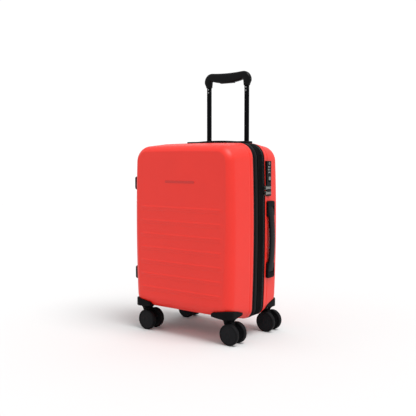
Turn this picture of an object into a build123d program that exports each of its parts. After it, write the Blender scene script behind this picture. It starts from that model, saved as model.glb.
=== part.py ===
"""Cabin-size hard shell suitcase: two moulded shells joined by a zipped band, on four twin-wheel casters.

Millimetres. +X is the side with the lock, -Y is the front, +Z is up. The origin is on the floor,
under the middle of the case. The telescopic handle stands one stage out, every other part at rest.
"""
from build123d import *
import os

os.makedirs("parts", exist_ok=True)

# ---- driving dimensions ----------------------------------------------------------------------
HALF_WIDTH = 179.0        # middle of the side at the rim
CASE_TOP = 545.0          # highest point of the rim
CASE_LOW = 54.0           # lowest point of the rim
SIDE_CROWN = 6.0          # how far the sides bow out over their height
TOP_CROWN = 2.5
CORNER_R_HIGH = 44.0      # rim corners, seen from the front
CORNER_R_LOW = 32.0
FACE_Y = 124.0            # front and back faces, before their raised ribs
FRONT_RIM_Y = -20.0
BACK_RIM_Y = 40.0
TAPER_SIDE = 5.0          # how much each shell draws in from its rim to its face
TAPER_TOP = 10.0
TAPER_LOW = 23.0
EDGE_R = 26.0             # rounding between a shell's face and its walls
WALL = 2.5
LINING_GAP = 0.4
LINING_T = 0.8

PANEL_SINK_TOP = 2.7      # the front panel is sunk this deep at its top edge, and nothing at its foot
PANEL_TOP_Z = 517.0
PANEL_FOOT_Z = 100.0
RIB_COUNT = 7
RIB_TOP_Z = 367.7
RIB_PITCH = 38.7
RIB_HEIGHT = 18.0
RIB_HALF_LENGTH = 146.0
RIB_PROUD = 1.8
RIB_CHAMFER = 1.4
GROOVE_NEAR = 11.0        # shallow groove round the rim, measured from the rim's edge
GROOVE_WIDTH = 6.0
GROOVE_DEPTH = 0.8

ZIP_GAP = 0.4
EXPANDER_Y = -16.5        # parting plane of the expander zip
STRIP_Y = (-13.0, 1.0)    # grey moulded strip
BAND_Y = (1.0, 27.0)
MAIN_ZIP_Y = 33.0         # parting plane of the main zip
RING_INNER = 3.6          # the band's rings reach this far in from the rim outline
GUSSET_LENGTH = 46.0
GUSSET_INSET = 6.0
GUSSET_T = 1.0
HINGE_Z = (120.0, 480.0)  # fabric hinge down the left side
HINGE_FRONT_Y = 8.0

TUBE_X = 69.0
TUBE_Y = 109.0
TUBE_CORNER = 3.0
FIXED_TUBE = (18.5, 15.5, 1.2)   # width, depth, wall
MID_TUBE = (15.7, 12.7, 0.8)
TOP_TUBE = (13.5, 10.5, 1.0)
TUBE_FOOT_Z = 96.0
FIXED_TUBE_TOP = 518.0
MID_TUBE_FOOT = 104.0
TOP_TUBE_FOOT = 452.0
BEZEL_TOP = 540.0
BEZEL_FLOOR = 520.0
BEZEL_LOW = 505.0
BEZEL_HALF = 94.0
BEZEL_Y = (94.0, 123.6)
GRIP_TOP = 760.0
GRIP_DIP = 3.0
GRIP_UNDER = 735.0
GRIP_UNDER_MID = 729.0
GRIP_HALF = 85.0
GRIP_DEPTH = 20.0
SOCKET_LOW = 718.0
SOCKET_INNER = 58.0
BUTTON_SIZE = (50.0, 9.0, 9.0)
BUTTON_PROUD = 2.6
BUTTON_ROOM = 0.8         # pocket wider and deeper than the button by this much
SOCKET_DEPTH = 30.0       # how far a top tube goes into the grip
GRIP_SHOULDER_R = 13.0
GRIP_INNER_R = 7.0
GRIP_EDGE_R = 4.0
PIN_Z = (711.0, 702.0)
PIN_R = 1.8
PIN_LENGTH = 1.0
FIT = 0.1                 # a part that is pressed in sits this much clear of its seat
TUBE_ROOM = 0.6           # the moving tubes pass the housing with this much to spare
BRACKET_HALF = 83.0       # bottom bracket of the tubes
BRACKET_Y = (98.0, 119.5)
BRACKET_Z = (91.0, 110.0)
COVER_HALF = 88.0         # inner cover over the tubes
COVER_Y = (95.5, 119.0)
COVER_Z = (112.0, 500.0)
COVER_SIDE_T = 1.6
COVER_FACE_T = 1.5

CASTER_X = 147.0
CASTER_Y = 92.0
TRAIL = 14.0
WHEEL_R = 29.25
WHEEL_T = 13.5
WHEEL_INNER = 11.5
AXLE_R = 3.0
STEM_R = 6.0
RUNNING = 0.05
FORK_HALF = 9.0
CUP_R = 16.0
CUP_LOW = 60.0
GUARD_LOW = 69.5
GUARD_HALF = (171.8, 125.8)   # outer faces, along X and Y
GUARD_EDGE_R = 24.0
GUARD_REACH = 64.0
GUARD_TOP = 94.0
GUARD_END_TOP = 79.0
PLUG_R = 24.0
BOSS_R = 12.0
BOSS_TOP = 98.0

HANDLE_HALF = 109.5       # carry handles, end to end
HANDLE_BLOCK = 45.0
HANDLE_DEPTH = 36.0
HANDLE_Y = 64.0
HANDLE_MID_Z = 271.5
BLOCK_PROUD = 6.5
GRIP_BOW = 11.5
CARRY_T = 5.0
CARRY_HALF = 14.5
CARRY_EDGE_R = 1.6
CARRY_END_DROP = 1.6      # the grip's ends lie this far under the blocks' tops
CARRY_END_THINNING = 1.4
LEG = (12.0, 18.0)
LEG_LOW = -25.0
LEG_ROOM = 1.0
HANDLE_CORNER_R = 6.0
HANDLE_EDGE_R = 2.4
HANDLE_ROOT = 12.0        # how far an end block goes in behind the shell
WELL_SHIFT = 16.0
WELL_HEIGHT = 12.0

LOCK_Y = (42.0, 66.0)
LOCK_Z = (395.0, 494.0)
LOCK_FACE_X = 182.0
DIAL_R = 7.0
DIAL_T = 5.4
DIAL_PITCH = 7.6
DIAL_MID_Z = 469.5
DIAL_Y = 55.0
DIAL_PROUD = 1.6
DIAL_ROOM = (0.4, 0.35)   # clearance round a dial and beside it
DIAL_NOTCHES = 10
SPINDLE_R = 1.5
KEY_Z = 487.0
KEY_R = 3.8
SLIDE_Z = 445.0
SLIDE_HALF = 5.0
SLIDE_ROOM = 0.4
SLIDE_TRAVEL = 4.0
LOCK_DEPTH = 17.0
PULL_Z = (404.0, 419.0)
PULL_HALF = 3.2
PULL_LENGTH = 25.0
PULL_HALF_T = 0.9
PIVOT_R = 1.0
SLIDER_X = (179.6, 181.6)
SLIDER_Y = (30.5, 40.0)
SLIDER_HALF = 5.5
LUG_Z = 4.4               # the two lugs stand this far either side of the slider's middle
LUG_HALF = 0.8

OUTER_REACH = CASTER_X + TRAIL + WHEEL_R   # outer face of the side feet
FOOT_Z = (428.4, 162.5)   # middles of the two side feet
FOOT_HEIGHT = 38.0
FOOT_Y = 81.0
FOOT_LENGTH = 34.0
FOOT_ROOT_X = 165.0       # the feet start inside the wall and are trimmed to it
FOOT_FLARE = (6.0, 4.0)

BADGE_HALF = 52.0
BADGE_Z = (432.5, 439.5)
STRAP_ENDS = ((380.0, 306.0), (220.0, 294.0))   # height at the wall and at the buckle
STRAP_X = (150.0, 22.0)
STRAP_HALF = (12.0, 5.0)
STRAP_Y = 92.6
STRAP_HALF_T = 0.6
BUCKLE_Y = (89.6, 94.6)
BUCKLE_Z = (287.0, 313.0)
POCKET_HALF = 138.0
POCKET_Y = (-117.0, -116.0)
POCKET_Z = (118.0, 330.0)


# ---- the shape of the shells -----------------------------------------------------------------
def taper_at(y):
    """0 at a shell's rim, 1 at its face."""
    if y < 0:
        return (FRONT_RIM_Y - y) / (FACE_Y + FRONT_RIM_Y)
    return (y - BACK_RIM_Y) / (FACE_Y - BACK_RIM_Y)


def outline(y, taper, inset):
    """Cross-section of the case at y, shrunk by inset."""
    half = HALF_WIDTH - TAPER_SIDE * taper - inset
    top = CASE_TOP - TAPER_TOP * taper - inset
    foot = CASE_LOW + TAPER_LOW * taper + inset
    radius_high = CORNER_R_HIGH - inset
    radius_low = CORNER_R_LOW - inset
    middle = (CASE_TOP + CASE_LOW) / 2
    corner_x = half - SIDE_CROWN
    corner_z = top - TOP_CROWN
    with BuildSketch(Plane(origin=(0, y, 0), x_dir=(1, 0, 0), z_dir=(0, -1, 0))) as face:
        with BuildLine():
            ThreePointArc((corner_x, foot), (half, middle), (corner_x, corner_z))
            ThreePointArc((corner_x, corner_z), (0, top), (-corner_x, corner_z))
            ThreePointArc((-corner_x, corner_z), (-half, middle), (-corner_x, foot))
            Line((-corner_x, foot), (corner_x, foot))
        make_face()
        corners = face.vertices().sort_by(Axis.Y)
        fillet(corners[2:], radius=radius_high)
        fillet(face.vertices().sort_by(Axis.Y)[:2], radius=radius_low)
    return face.sketch.face()


def case_block(rim_y, face_y, inset):
    """Closed block between a rim plane and a rounded face."""
    near = outline(rim_y, taper_at(rim_y), inset)
    far = outline(face_y, taper_at(face_y), inset)
    block = loft([near, far], ruled=True)
    edges = block.edges().filter_by(lambda e: abs(e.center().Y - face_y) < 0.01)
    return block.fillet(EDGE_R - inset, edges)


def ring(y_from, y_to, outer_inset, inner_inset):
    """Band of even section that follows the rim outline."""
    outer = extrude(outline(y_from, 0, outer_inset), amount=y_to - y_from, dir=(0, 1, 0))
    inner = extrude(outline(y_from - 1, 0, inner_inset), amount=y_to - y_from + 2, dir=(0, 1, 0))
    return outer - inner


def box_between(x, y, z):
    """Box from its low and high limits along each axis."""
    size = (x[1] - x[0], y[1] - y[0], z[1] - z[0])
    return Pos((x[0] + x[1]) / 2, (y[0] + y[1]) / 2, (z[0] + z[1]) / 2) * Box(*size)


def beyond_panel(inset):
    """Everything in front of the sunk front panel."""
    slope = PANEL_SINK_TOP / (PANEL_TOP_Z - PANEL_FOOT_Z)
    high, low = 700.0, 0.0
    y_high = -FACE_Y + inset + slope * (high - PANEL_FOOT_Z)
    y_low = -FACE_Y + inset + slope * (low - PANEL_FOOT_Z)
    with BuildSketch(Plane.YZ) as side:
        with BuildLine():
            Polyline((y_low, low), (y_high, high), (-200, high), (-200, low), close=True)
        make_face()
    return extrude(side.sketch, amount=300, both=True)


def rib(index):
    """Raised horizontal rib with a soft top edge and tapered ends."""
    top = RIB_TOP_Z - RIB_PITCH * index
    slope = PANEL_SINK_TOP / (PANEL_TOP_Z - PANEL_FOOT_Z)
    face = -FACE_Y + slope * (top - RIB_HEIGHT / 2 - PANEL_FOOT_Z)
    body = box_between(
        (-RIB_HALF_LENGTH, RIB_HALF_LENGTH), (face - RIB_PROUD, face + 1.0), (top - RIB_HEIGHT, top))
    outer = body.edges().filter_by(lambda e: abs(e.center().Y - face + RIB_PROUD) < 0.01)
    return chamfer(outer, RIB_CHAMFER)


def tapered_block(low_y, high_y, inset, overrun=0.0):
    """Solid slice of the case between two planes, with walls that draw in as the shell's do."""
    near = outline(low_y - overrun, taper_at(low_y), inset)
    far = outline(high_y + overrun, taper_at(high_y), inset)
    return loft([near, far], ruled=True)


def rim_groove(rim_y, direction):
    """Cutter for the shallow groove that runs round a shell, a little in from its rim."""
    near = rim_y + direction * GROOVE_NEAR
    far = near + direction * GROOVE_WIDTH
    low_y, high_y = min(near, far), max(near, far)
    outer = tapered_block(low_y, high_y, -4.0)
    inner = tapered_block(low_y, high_y, GROOVE_DEPTH, overrun=0.01)
    return outer - inner


def caster_places(back):
    """Swivel axes of the two casters on one half of the case."""
    y = CASTER_Y if back else -CASTER_Y
    return [(-CASTER_X, y), (CASTER_X, y)]


def post(x, y, radius, z_from, z_to):
    """Upright cylinder."""
    return Pos(x, y, (z_from + z_to) / 2) * Cylinder(radius, z_to - z_from)


def upright_tube(x, size, z_from, z_to):
    """Rounded rectangular tube of the telescopic handle."""
    width, depth, wall = size
    with BuildSketch(Plane(origin=(x, TUBE_Y, z_from))) as section:
        RectangleRounded(width, depth, TUBE_CORNER)
        RectangleRounded(width - 2 * wall, depth - 2 * wall, TUBE_CORNER - wall, mode=Mode.SUBTRACT)
    return extrude(section.sketch, amount=z_to - z_from)


def tube_pair(size, z_from, z_to):
    """The same tube at both sides of the handle."""
    return [upright_tube(side * TUBE_X, size, z_from, z_to) for side in (-1, 1)]


def side_surface_x(z):
    """Distance of the side wall from the middle at height z and y = HANDLE_Y."""
    half = HALF_WIDTH - TAPER_SIDE * taper_at(HANDLE_Y)
    middle = (CASE_TOP + CASE_LOW) / 2
    return half - SIDE_CROWN * ((z - middle) / (CASE_TOP - middle)) ** 2


SIDE_X = side_surface_x(HANDLE_MID_Z) + 1.0
TOP_Z = CASE_TOP - TAPER_TOP * taper_at(HANDLE_Y) + 2.4
SIDE_HANDLE = Plane(origin=(SIDE_X, HANDLE_Y, HANDLE_MID_Z), x_dir=(0, 0, 1), z_dir=(1, 0, 0))
TOP_HANDLE = Plane(origin=(0, HANDLE_Y, TOP_Z), x_dir=(1, 0, 0), z_dir=(0, 0, 1))


# ---- carry handles, drawn flat: length along X, standing up along Z ---------------------------
def handle_block_solid():
    """Rounded end block, before its slot."""
    footprint = RectangleRounded(HANDLE_BLOCK, HANDLE_DEPTH, HANDLE_CORNER_R)
    block = Pos(0, 0, -HANDLE_ROOT) * extrude(footprint, amount=BLOCK_PROUD + HANDLE_ROOT)
    top = block.edges().group_by(Axis.Z)[-1]
    return fillet(top, HANDLE_EDGE_R)


def handle_ends():
    """The pair of end blocks with a slot for each leg of the grip."""
    ends = []
    for side in (-1, 1):
        x = side * (HANDLE_HALF - HANDLE_BLOCK / 2)
        slot = Pos(x, 0, 0) * Box(LEG[0] + LEG_ROOM, LEG[1] + LEG_ROOM, 60)
        well = Box(HANDLE_BLOCK, 2 * CARRY_HALF + LEG_ROOM, WELL_HEIGHT)
        well = Pos(x - side * WELL_SHIFT, 0, BLOCK_PROUD) * well
        ends.append(Pos(x, 0, 0) * handle_block_solid() - slot - well)
    return ends


def handle_cutters():
    """Holes in the shell for the two end blocks."""
    footprint = RectangleRounded(HANDLE_BLOCK + 2 * FIT, HANDLE_DEPTH + 2 * FIT, HANDLE_CORNER_R + FIT)
    hole = Pos(0, 0, -HANDLE_ROOT - 3) * extrude(footprint, amount=40)
    return [Pos(side * (HANDLE_HALF - HANDLE_BLOCK / 2), 0, 0) * hole for side in (-1, 1)]


def carry_grip():
    """Bowed grip with a leg at each end that runs in the end blocks."""
    reach = HANDLE_HALF - HANDLE_BLOCK / 2 + LEG[0] / 2
    end_z = BLOCK_PROUD - CARRY_END_DROP
    under_z = end_z - CARRY_T + CARRY_END_THINNING
    with BuildSketch(Plane.XZ) as side:
        with BuildLine():
            ThreePointArc((-reach, end_z), (0, GRIP_BOW), (reach, end_z))
            Line((reach, end_z), (reach, under_z))
            ThreePointArc((reach, under_z), (0, GRIP_BOW - CARRY_T), (-reach, under_z))
            Line((-reach, under_z), (-reach, end_z))
        make_face()
    bow = extrude(side.sketch, amount=CARRY_HALF, both=True)
    bow = fillet(bow.edges().filter_by(lambda e: e.length > 100), CARRY_EDGE_R)
    leg_y = (-LEG[1] / 2, LEG[1] / 2)
    legs = [
        box_between(sorted((s * reach, s * (reach - LEG[0]))), leg_y, (LEG_LOW, end_z - 2.0))
        for s in (-1, 1)]
    return bow + legs


def place(plane, shapes):
    """Move flat-drawn solids onto a plane of the case."""
    return [plane.location * shape for shape in shapes]


# ---- shells ----------------------------------------------------------------------------------
front_outer = case_block(FRONT_RIM_Y, -FACE_Y, 0.0)
back_outer = case_block(BACK_RIM_Y, FACE_Y, 0.0)


def caster_holes(back, radius):
    """Cutters for the caster housings."""
    return [post(x, y, radius, 30.0, BOSS_TOP + 20) for x, y in caster_places(back)]


def make_front_shell():
    """Front shell: sunk panel with ribs, rim groove, caster openings."""
    inside = case_block(FRONT_RIM_Y + 1.0, -FACE_Y + WALL, WALL)
    inside = inside - beyond_panel(WALL)
    skin = front_outer - beyond_panel(0.0)
    for index in range(RIB_COUNT):
        skin = skin + rib(index)
    skin = skin - inside - rim_groove(FRONT_RIM_Y, -1)
    return skin - caster_holes(False, PLUG_R + 0.2)


def make_back_shell():
    """Back shell: the same ribs, and openings for the handle, lock, carry handles and casters."""
    inside = case_block(BACK_RIM_Y - 1.0, FACE_Y - WALL, WALL)
    skin = back_outer
    for index in range(RIB_COUNT):
        flat_rib = rib(index).rotate(Axis.Z, 180)
        lean = PANEL_SINK_TOP / (PANEL_TOP_Z - PANEL_FOOT_Z) * (RIB_TOP_Z - RIB_PITCH * index - PANEL_FOOT_Z)
        skin = skin + Pos(0, lean, 0) * flat_rib
    skin = skin - inside - rim_groove(BACK_RIM_Y, 1)
    skin = skin - caster_holes(True, PLUG_R + 0.2)
    skin = skin - bezel_cutter() - lock_cutter()
    skin = skin - place(SIDE_HANDLE, handle_cutters()) - place(TOP_HANDLE, handle_cutters())
    return skin


def make_lining(back):
    """Thin cloth tray that lies just inside a shell."""
    near = WALL + LINING_GAP
    far = near + LINING_T
    if back:
        tray = case_block(BACK_RIM_Y + 2.0, FACE_Y - near, near)
        tray = tray - case_block(BACK_RIM_Y - 1.0, FACE_Y - far, far)
        tray = tray - bezel_cutter() - lock_cutter()
        tray = tray - place(SIDE_HANDLE, handle_cutters()) - place(TOP_HANDLE, handle_cutters())
    else:
        tray = case_block(FRONT_RIM_Y - 2.0, -FACE_Y + near, near) - beyond_panel(near)
        tray = tray - (case_block(FRONT_RIM_Y + 1.0, -FACE_Y + far, far) - beyond_panel(far))
    return tray - caster_holes(back, PLUG_R + 0.4)


# ---- band between the shells -----------------------------------------------------------------
def make_grey_strip():
    """Moulded strip with a rounded outer face."""
    strip = ring(STRIP_Y[0], STRIP_Y[1], -0.6, RING_INNER)
    front_step = ring(STRIP_Y[0] - 1, STRIP_Y[0] + 2.0, -3.0, 0.4)
    back_step = ring(STRIP_Y[1] - 2.0, STRIP_Y[1] + 1, -3.0, 0.4)
    return strip - front_step - back_step


def make_band():
    """Fabric band with a stitched groove beside the strip."""
    band = ring(BAND_Y[0], BAND_Y[1], 0.5, RING_INNER)
    return band - ring(BAND_Y[0] - 1, BAND_Y[0] + 4.0, -3.0, 2.0)


def make_gusset():
    """Fabric that folds out when the expander is open, lying just inside the front rim."""
    start = STRIP_Y[0] + 2.0
    end = start - GUSSET_LENGTH
    inner_inset = GUSSET_INSET + GUSSET_T
    outer = loft([outline(start, 0, GUSSET_INSET), outline(end, taper_at(end), GUSSET_INSET)], ruled=True)
    inner = loft(
        [outline(start + 0.01, 0, inner_inset), outline(end - 0.01, taper_at(end), inner_inset)],
        ruled=True)
    return (outer - inner) + ring(start, start + 1.0, RING_INNER, inner_inset)


def make_hinge_strip():
    """Fabric hinge down the left side."""
    strip = ring(HINGE_FRONT_Y, MAIN_ZIP_Y - ZIP_GAP / 2, -1.6, 0.45)
    return strip & box_between((-200, -150), (0, 60), HINGE_Z)


# ---- casters ---------------------------------------------------------------------------------
def make_guards(back):
    """Corner guards with a flat floor and a bored boss for each caster's stem."""
    toward = 1 if back else -1
    footprint = RectangleRounded(2 * GUARD_HALF[0], 2 * GUARD_HALF[1], GUARD_EDGE_R)
    body = Pos(0, 0, GUARD_LOW) * extrude(footprint, amount=60)
    shell = back_outer if back else front_outer
    guards = []
    for x, y in caster_places(back):
        side = 1 if x > 0 else -1
        corner_x = HALF_WIDTH - TAPER_SIDE
        drop = GUARD_TOP - GUARD_END_TOP
        x_limits = sorted((side * (corner_x - GUARD_REACH), side * 200.0))
        y_limits = sorted((toward * (FACE_Y - GUARD_REACH), toward * 140.0))
        wedge_plane = Plane(
            origin=(side * corner_x, toward * FACE_Y, GUARD_TOP),
            z_dir=(-side * drop / GUARD_REACH, -toward * drop / GUARD_REACH, 1))
        above = extrude(wedge_plane * Rectangle(600, 600), amount=100)
        corner = (body & box_between(x_limits, y_limits, (60, 130))) - above - shell
        plug = post(x, y, PLUG_R, GUARD_LOW, GUARD_LOW + 4.0) + post(x, y, BOSS_R, GUARD_LOW, BOSS_TOP)
        piece = (corner + plug) - post(x, y, STEM_R + RUNNING, 40.0, BOSS_TOP + 5)
        guards.append(max(piece.solids(), key=lambda s: s.volume))
    return guards


def make_fork(x, y):
    """Swivel fork: stem, cup and the web that carries the axle."""
    axle_x, axle_z = x + TRAIL, WHEEL_R
    with BuildSketch(Plane(origin=(0, y, 0), x_dir=(1, 0, 0), z_dir=(0, -1, 0))) as web:
        with Locations((x, CUP_LOW + 1)):
            Circle(13.0)
        with Locations((axle_x, axle_z)):
            Circle(11.5)
        make_hull()
    body = extrude(web.sketch, amount=FORK_HALF, both=True)
    body = body - post(x, y, 60, CUP_LOW + 3, CUP_LOW + 60)
    cup = fillet(post(x, y, CUP_R, CUP_LOW, GUARD_LOW - 0.4).edges().group_by(Axis.Z)[0], 3.0)
    body = body + cup + post(x, y, STEM_R, CUP_LOW, BOSS_TOP - 2)
    axle_hole = Pos(axle_x, y, axle_z) * Rot(90, 0, 0) * Cylinder(AXLE_R, 60)
    return body - axle_hole


def make_axle(x, y):
    """Steel axle through the fork and both wheels."""
    length = 2 * (WHEEL_INNER + WHEEL_T - 3.0)
    return Pos(x + TRAIL, y, WHEEL_R) * Rot(90, 0, 0) * Cylinder(AXLE_R, length)


def make_wheel(x, y, side):
    """Wheel with a blind bore, a rounded tread and a ringed outer face."""
    outer_y = WHEEL_INNER + WHEEL_T
    half_section = [
        (0, outer_y - 1.2), (21.0, outer_y - 1.2), (22.0, outer_y), (26.0, outer_y),
        (WHEEL_R, outer_y - 3.0), (WHEEL_R, WHEEL_INNER + 2.5), (27.0, WHEEL_INNER),
        (AXLE_R + RUNNING, WHEEL_INNER), (AXLE_R + RUNNING, outer_y - 2.8), (0, outer_y - 2.8)]
    with BuildSketch(Plane.XY) as section:
        with BuildLine():
            Polyline(*half_section, close=True)
        make_face()
    wheel = revolve(section.sketch, Axis.Y)
    if side < 0:
        wheel = wheel.mirror(Plane.XZ)
    return Pos(x + TRAIL, y, WHEEL_R) * wheel


# ---- telescopic handle -----------------------------------------------------------------------
def bezel_block(extra):
    """Outside of the handle's top housing."""
    middle_y = (BEZEL_Y[0] + BEZEL_Y[1]) / 2
    size = (2 * BEZEL_HALF + 2 * extra, BEZEL_Y[1] - BEZEL_Y[0] + 2 * extra)
    with BuildSketch(Plane(origin=(0, middle_y, BEZEL_LOW - extra))) as base:
        RectangleRounded(*size, 5.0 + extra)
    return extrude(base.sketch, amount=BEZEL_TOP - BEZEL_LOW + extra)


def bezel_cutter():
    """Opening in the shell and lining for that housing."""
    above = box_between((-BEZEL_HALF, BEZEL_HALF), BEZEL_Y, (BEZEL_TOP - 1, BEZEL_TOP + 20))
    return bezel_block(FIT) + above


def tube_seat():
    """Outline of the seat that a fixed tube is pressed into."""
    return RectangleRounded(FIXED_TUBE[0] + FIT, FIXED_TUBE[1] + FIT, TUBE_CORNER)


def make_bezel():
    """Top housing with the recess that the grip drops into."""
    block = bezel_block(0.0)
    block = fillet(block.edges().group_by(Axis.Z)[-1], 2.0)
    well_y = (TUBE_Y - GRIP_DEPTH / 2 - 1.5, TUBE_Y + GRIP_DEPTH / 2 + 1.5)
    well = box_between((-GRIP_HALF - 2.5, GRIP_HALF + 2.5), well_y, (BEZEL_FLOOR, BEZEL_TOP + 10))
    block = block - fillet(well.edges().filter_by(Axis.Z), 6.0)
    passage = RectangleRounded(MID_TUBE[0] + TUBE_ROOM, MID_TUBE[1] + TUBE_ROOM, TUBE_CORNER)
    bore = extrude(passage, amount=40) + extrude(tube_seat(), amount=FIXED_TUBE_TOP - BEZEL_LOW + 5)
    for side in (-1, 1):
        block = block - Pos(side * TUBE_X, TUBE_Y, BEZEL_LOW - 5) * bore
    return block


def make_tube_base():
    """Bottom bracket that holds both fixed tubes."""
    bar = box_between((-BRACKET_HALF, BRACKET_HALF), BRACKET_Y, BRACKET_Z)
    bar = fillet(bar.edges().filter_by(Axis.Z), 4.0)
    for side in (-1, 1):
        bar = bar - Pos(side * TUBE_X, TUBE_Y, TUBE_FOOT_Z) * extrude(tube_seat(), amount=40)
    return bar


def make_tube_cover():
    """Inner cover that keeps the packing off the tubes."""
    inner_half = COVER_HALF - COVER_SIDE_T
    outside = box_between((-COVER_HALF, COVER_HALF), COVER_Y, COVER_Z)
    inside = box_between(
        (-inner_half, inner_half), (COVER_Y[0] + COVER_FACE_T, 130.0), (COVER_Z[0] - 12, COVER_Z[1] + 10))
    return outside - inside


def make_grip():
    """Bridge grip with a socket on each top tube and a pocket for the release button."""
    with BuildSketch(Plane.XZ) as front:
        with BuildLine():
            Line((-GRIP_HALF, SOCKET_LOW), (-GRIP_HALF, GRIP_TOP))
            ThreePointArc((-GRIP_HALF, GRIP_TOP), (0, GRIP_TOP - GRIP_DIP), (GRIP_HALF, GRIP_TOP))
            Line((GRIP_HALF, GRIP_TOP), (GRIP_HALF, SOCKET_LOW))
            Line((GRIP_HALF, SOCKET_LOW), (SOCKET_INNER, SOCKET_LOW))
            Line((SOCKET_INNER, SOCKET_LOW), (SOCKET_INNER, GRIP_UNDER))
            ThreePointArc((SOCKET_INNER, GRIP_UNDER), (0, GRIP_UNDER_MID), (-SOCKET_INNER, GRIP_UNDER))
            Line((-SOCKET_INNER, GRIP_UNDER), (-SOCKET_INNER, SOCKET_LOW))
            Line((-SOCKET_INNER, SOCKET_LOW), (-GRIP_HALF, SOCKET_LOW))
        make_face()
        fillet(front.vertices().group_by(Axis.Y)[-1], radius=GRIP_SHOULDER_R)
        inner_corners = front.vertices().filter_by(lambda v: abs(v.Y - GRIP_UNDER) < 0.1)
        fillet(inner_corners, radius=GRIP_INNER_R)
    grip = Pos(0, TUBE_Y, 0) * extrude(front.sketch, amount=GRIP_DEPTH / 2, both=True)
    rims = grip.edges().filter_by(lambda e: abs(abs(e.center().Y - TUBE_Y) - GRIP_DEPTH / 2) < 0.01)
    grip = fillet(rims, GRIP_EDGE_R)
    for side in (-1, 1):
        bore = RectangleRounded(TOP_TUBE[0], TOP_TUBE[1], TUBE_CORNER)
        grip = grip - Pos(side * TUBE_X, TUBE_Y, SOCKET_LOW - 1) * extrude(bore, amount=SOCKET_DEPTH + 1)
    pocket = Box(BUTTON_SIZE[0] + BUTTON_ROOM, BUTTON_SIZE[1] + BUTTON_ROOM, 22.0)
    return grip - Pos(0, TUBE_Y, GRIP_UNDER_MID + 4) * pocket


def make_button():
    """Release button under the bridge of the grip."""
    low = GRIP_UNDER_MID - BUTTON_PROUD
    button = Pos(0, TUBE_Y, low + BUTTON_SIZE[2] / 2) * Box(*BUTTON_SIZE)
    return fillet(button.edges().group_by(Axis.Z)[0], 1.6)


def make_tube_pins():
    """Two flush pins on the front of each top tube."""
    pins = []
    for side in (-1, 1):
        for z in PIN_Z:
            face_y = TUBE_Y - TOP_TUBE[1] / 2
            pin = Rot(90, 0, 0) * Cylinder(PIN_R, PIN_LENGTH)
            pins.append(Pos(side * TUBE_X, face_y + 0.3, z) * pin)
    return pins


def make_top_tubes():
    """Top stage of the handle, bored for its pins."""
    top = SOCKET_LOW + SOCKET_DEPTH
    return [tube - make_tube_pins() for tube in tube_pair(TOP_TUBE, TOP_TUBE_FOOT, top)]


# ---- lock and zip pulls ----------------------------------------------------------------------
def lock_cutter():
    """Opening in the shell and lining for the lock."""
    return box_between(
        (150, 200), (LOCK_Y[0] - FIT, LOCK_Y[1] + FIT), (LOCK_Z[0] - FIT, LOCK_Z[1] + FIT))


def dial_z(index):
    """Height of one dial's middle."""
    return DIAL_MID_Z + (index - 1) * DIAL_PITCH


DIAL_X = LOCK_FACE_X - DIAL_R + DIAL_PROUD


def make_lock():
    """Lock housing with a spindle for the dials and pockets for slide, key and pulls."""
    body = box_between((LOCK_FACE_X - LOCK_DEPTH, LOCK_FACE_X), LOCK_Y, LOCK_Z)
    body = fillet(body.edges().filter_by(Axis.X), 3.0)
    body = fillet(body.edges().group_by(Axis.X)[-1], 1.5)
    well_half = DIAL_T / 2 + DIAL_ROOM[1]
    for index in range(3):
        z = dial_z(index)
        body = body - post(DIAL_X, DIAL_Y, DIAL_R + DIAL_ROOM[0], z - well_half, z + well_half)
    spindle_reach = DIAL_PITCH + DIAL_T
    body = body + post(DIAL_X, DIAL_Y, SPINDLE_R, DIAL_MID_Z - spindle_reach, DIAL_MID_Z + spindle_reach)
    pocket_half = SLIDE_HALF + SLIDE_ROOM
    slide_pocket = box_between(
        (LOCK_FACE_X - 3, LOCK_FACE_X + 5), (DIAL_Y - pocket_half, DIAL_Y + pocket_half),
        (SLIDE_Z - pocket_half - SLIDE_TRAVEL, SLIDE_Z + pocket_half))
    key_hole = Pos(LOCK_FACE_X - 5, DIAL_Y, KEY_Z) * Rot(0, 90, 0) * Cylinder(KEY_R + RUNNING, 20)
    return body - slide_pocket - key_hole


def make_dial(index):
    """Knurled dial on the lock's spindle."""
    dial = post(DIAL_X, DIAL_Y, DIAL_R, dial_z(index) - DIAL_T / 2, dial_z(index) + DIAL_T / 2)
    notches = [
        Pos(DIAL_X, DIAL_Y, dial_z(index)) * Rot(0, 0, 360 / DIAL_NOTCHES * k)
        * Pos(DIAL_R + 0.3, 0, 0) * Cylinder(0.8, 10)
        for k in range(DIAL_NOTCHES)]
    return dial - post(DIAL_X, DIAL_Y, SPINDLE_R + RUNNING, 400, 500) - notches


def make_lock_slide():
    """Sliding catch that lets the pulls go."""
    slide = box_between(
        (LOCK_FACE_X - 2.6, LOCK_FACE_X + 1.8), (DIAL_Y - SLIDE_HALF, DIAL_Y + SLIDE_HALF),
        (SLIDE_Z - SLIDE_HALF, SLIDE_Z + SLIDE_HALF))
    return fillet(slide.edges().group_by(Axis.X)[-1], 1.0)


def make_key_cylinder():
    """Key cylinder with its slot."""
    core = Pos(LOCK_FACE_X - 4, DIAL_Y, KEY_Z) * Rot(0, 90, 0) * Cylinder(KEY_R, 8.6)
    return core - Pos(LOCK_FACE_X, DIAL_Y, KEY_Z) * Box(5, 1.2, 5)


PULL_AXIS_X = LOCK_FACE_X + 2.0
PULL_AXIS_Y = 36.0


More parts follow.
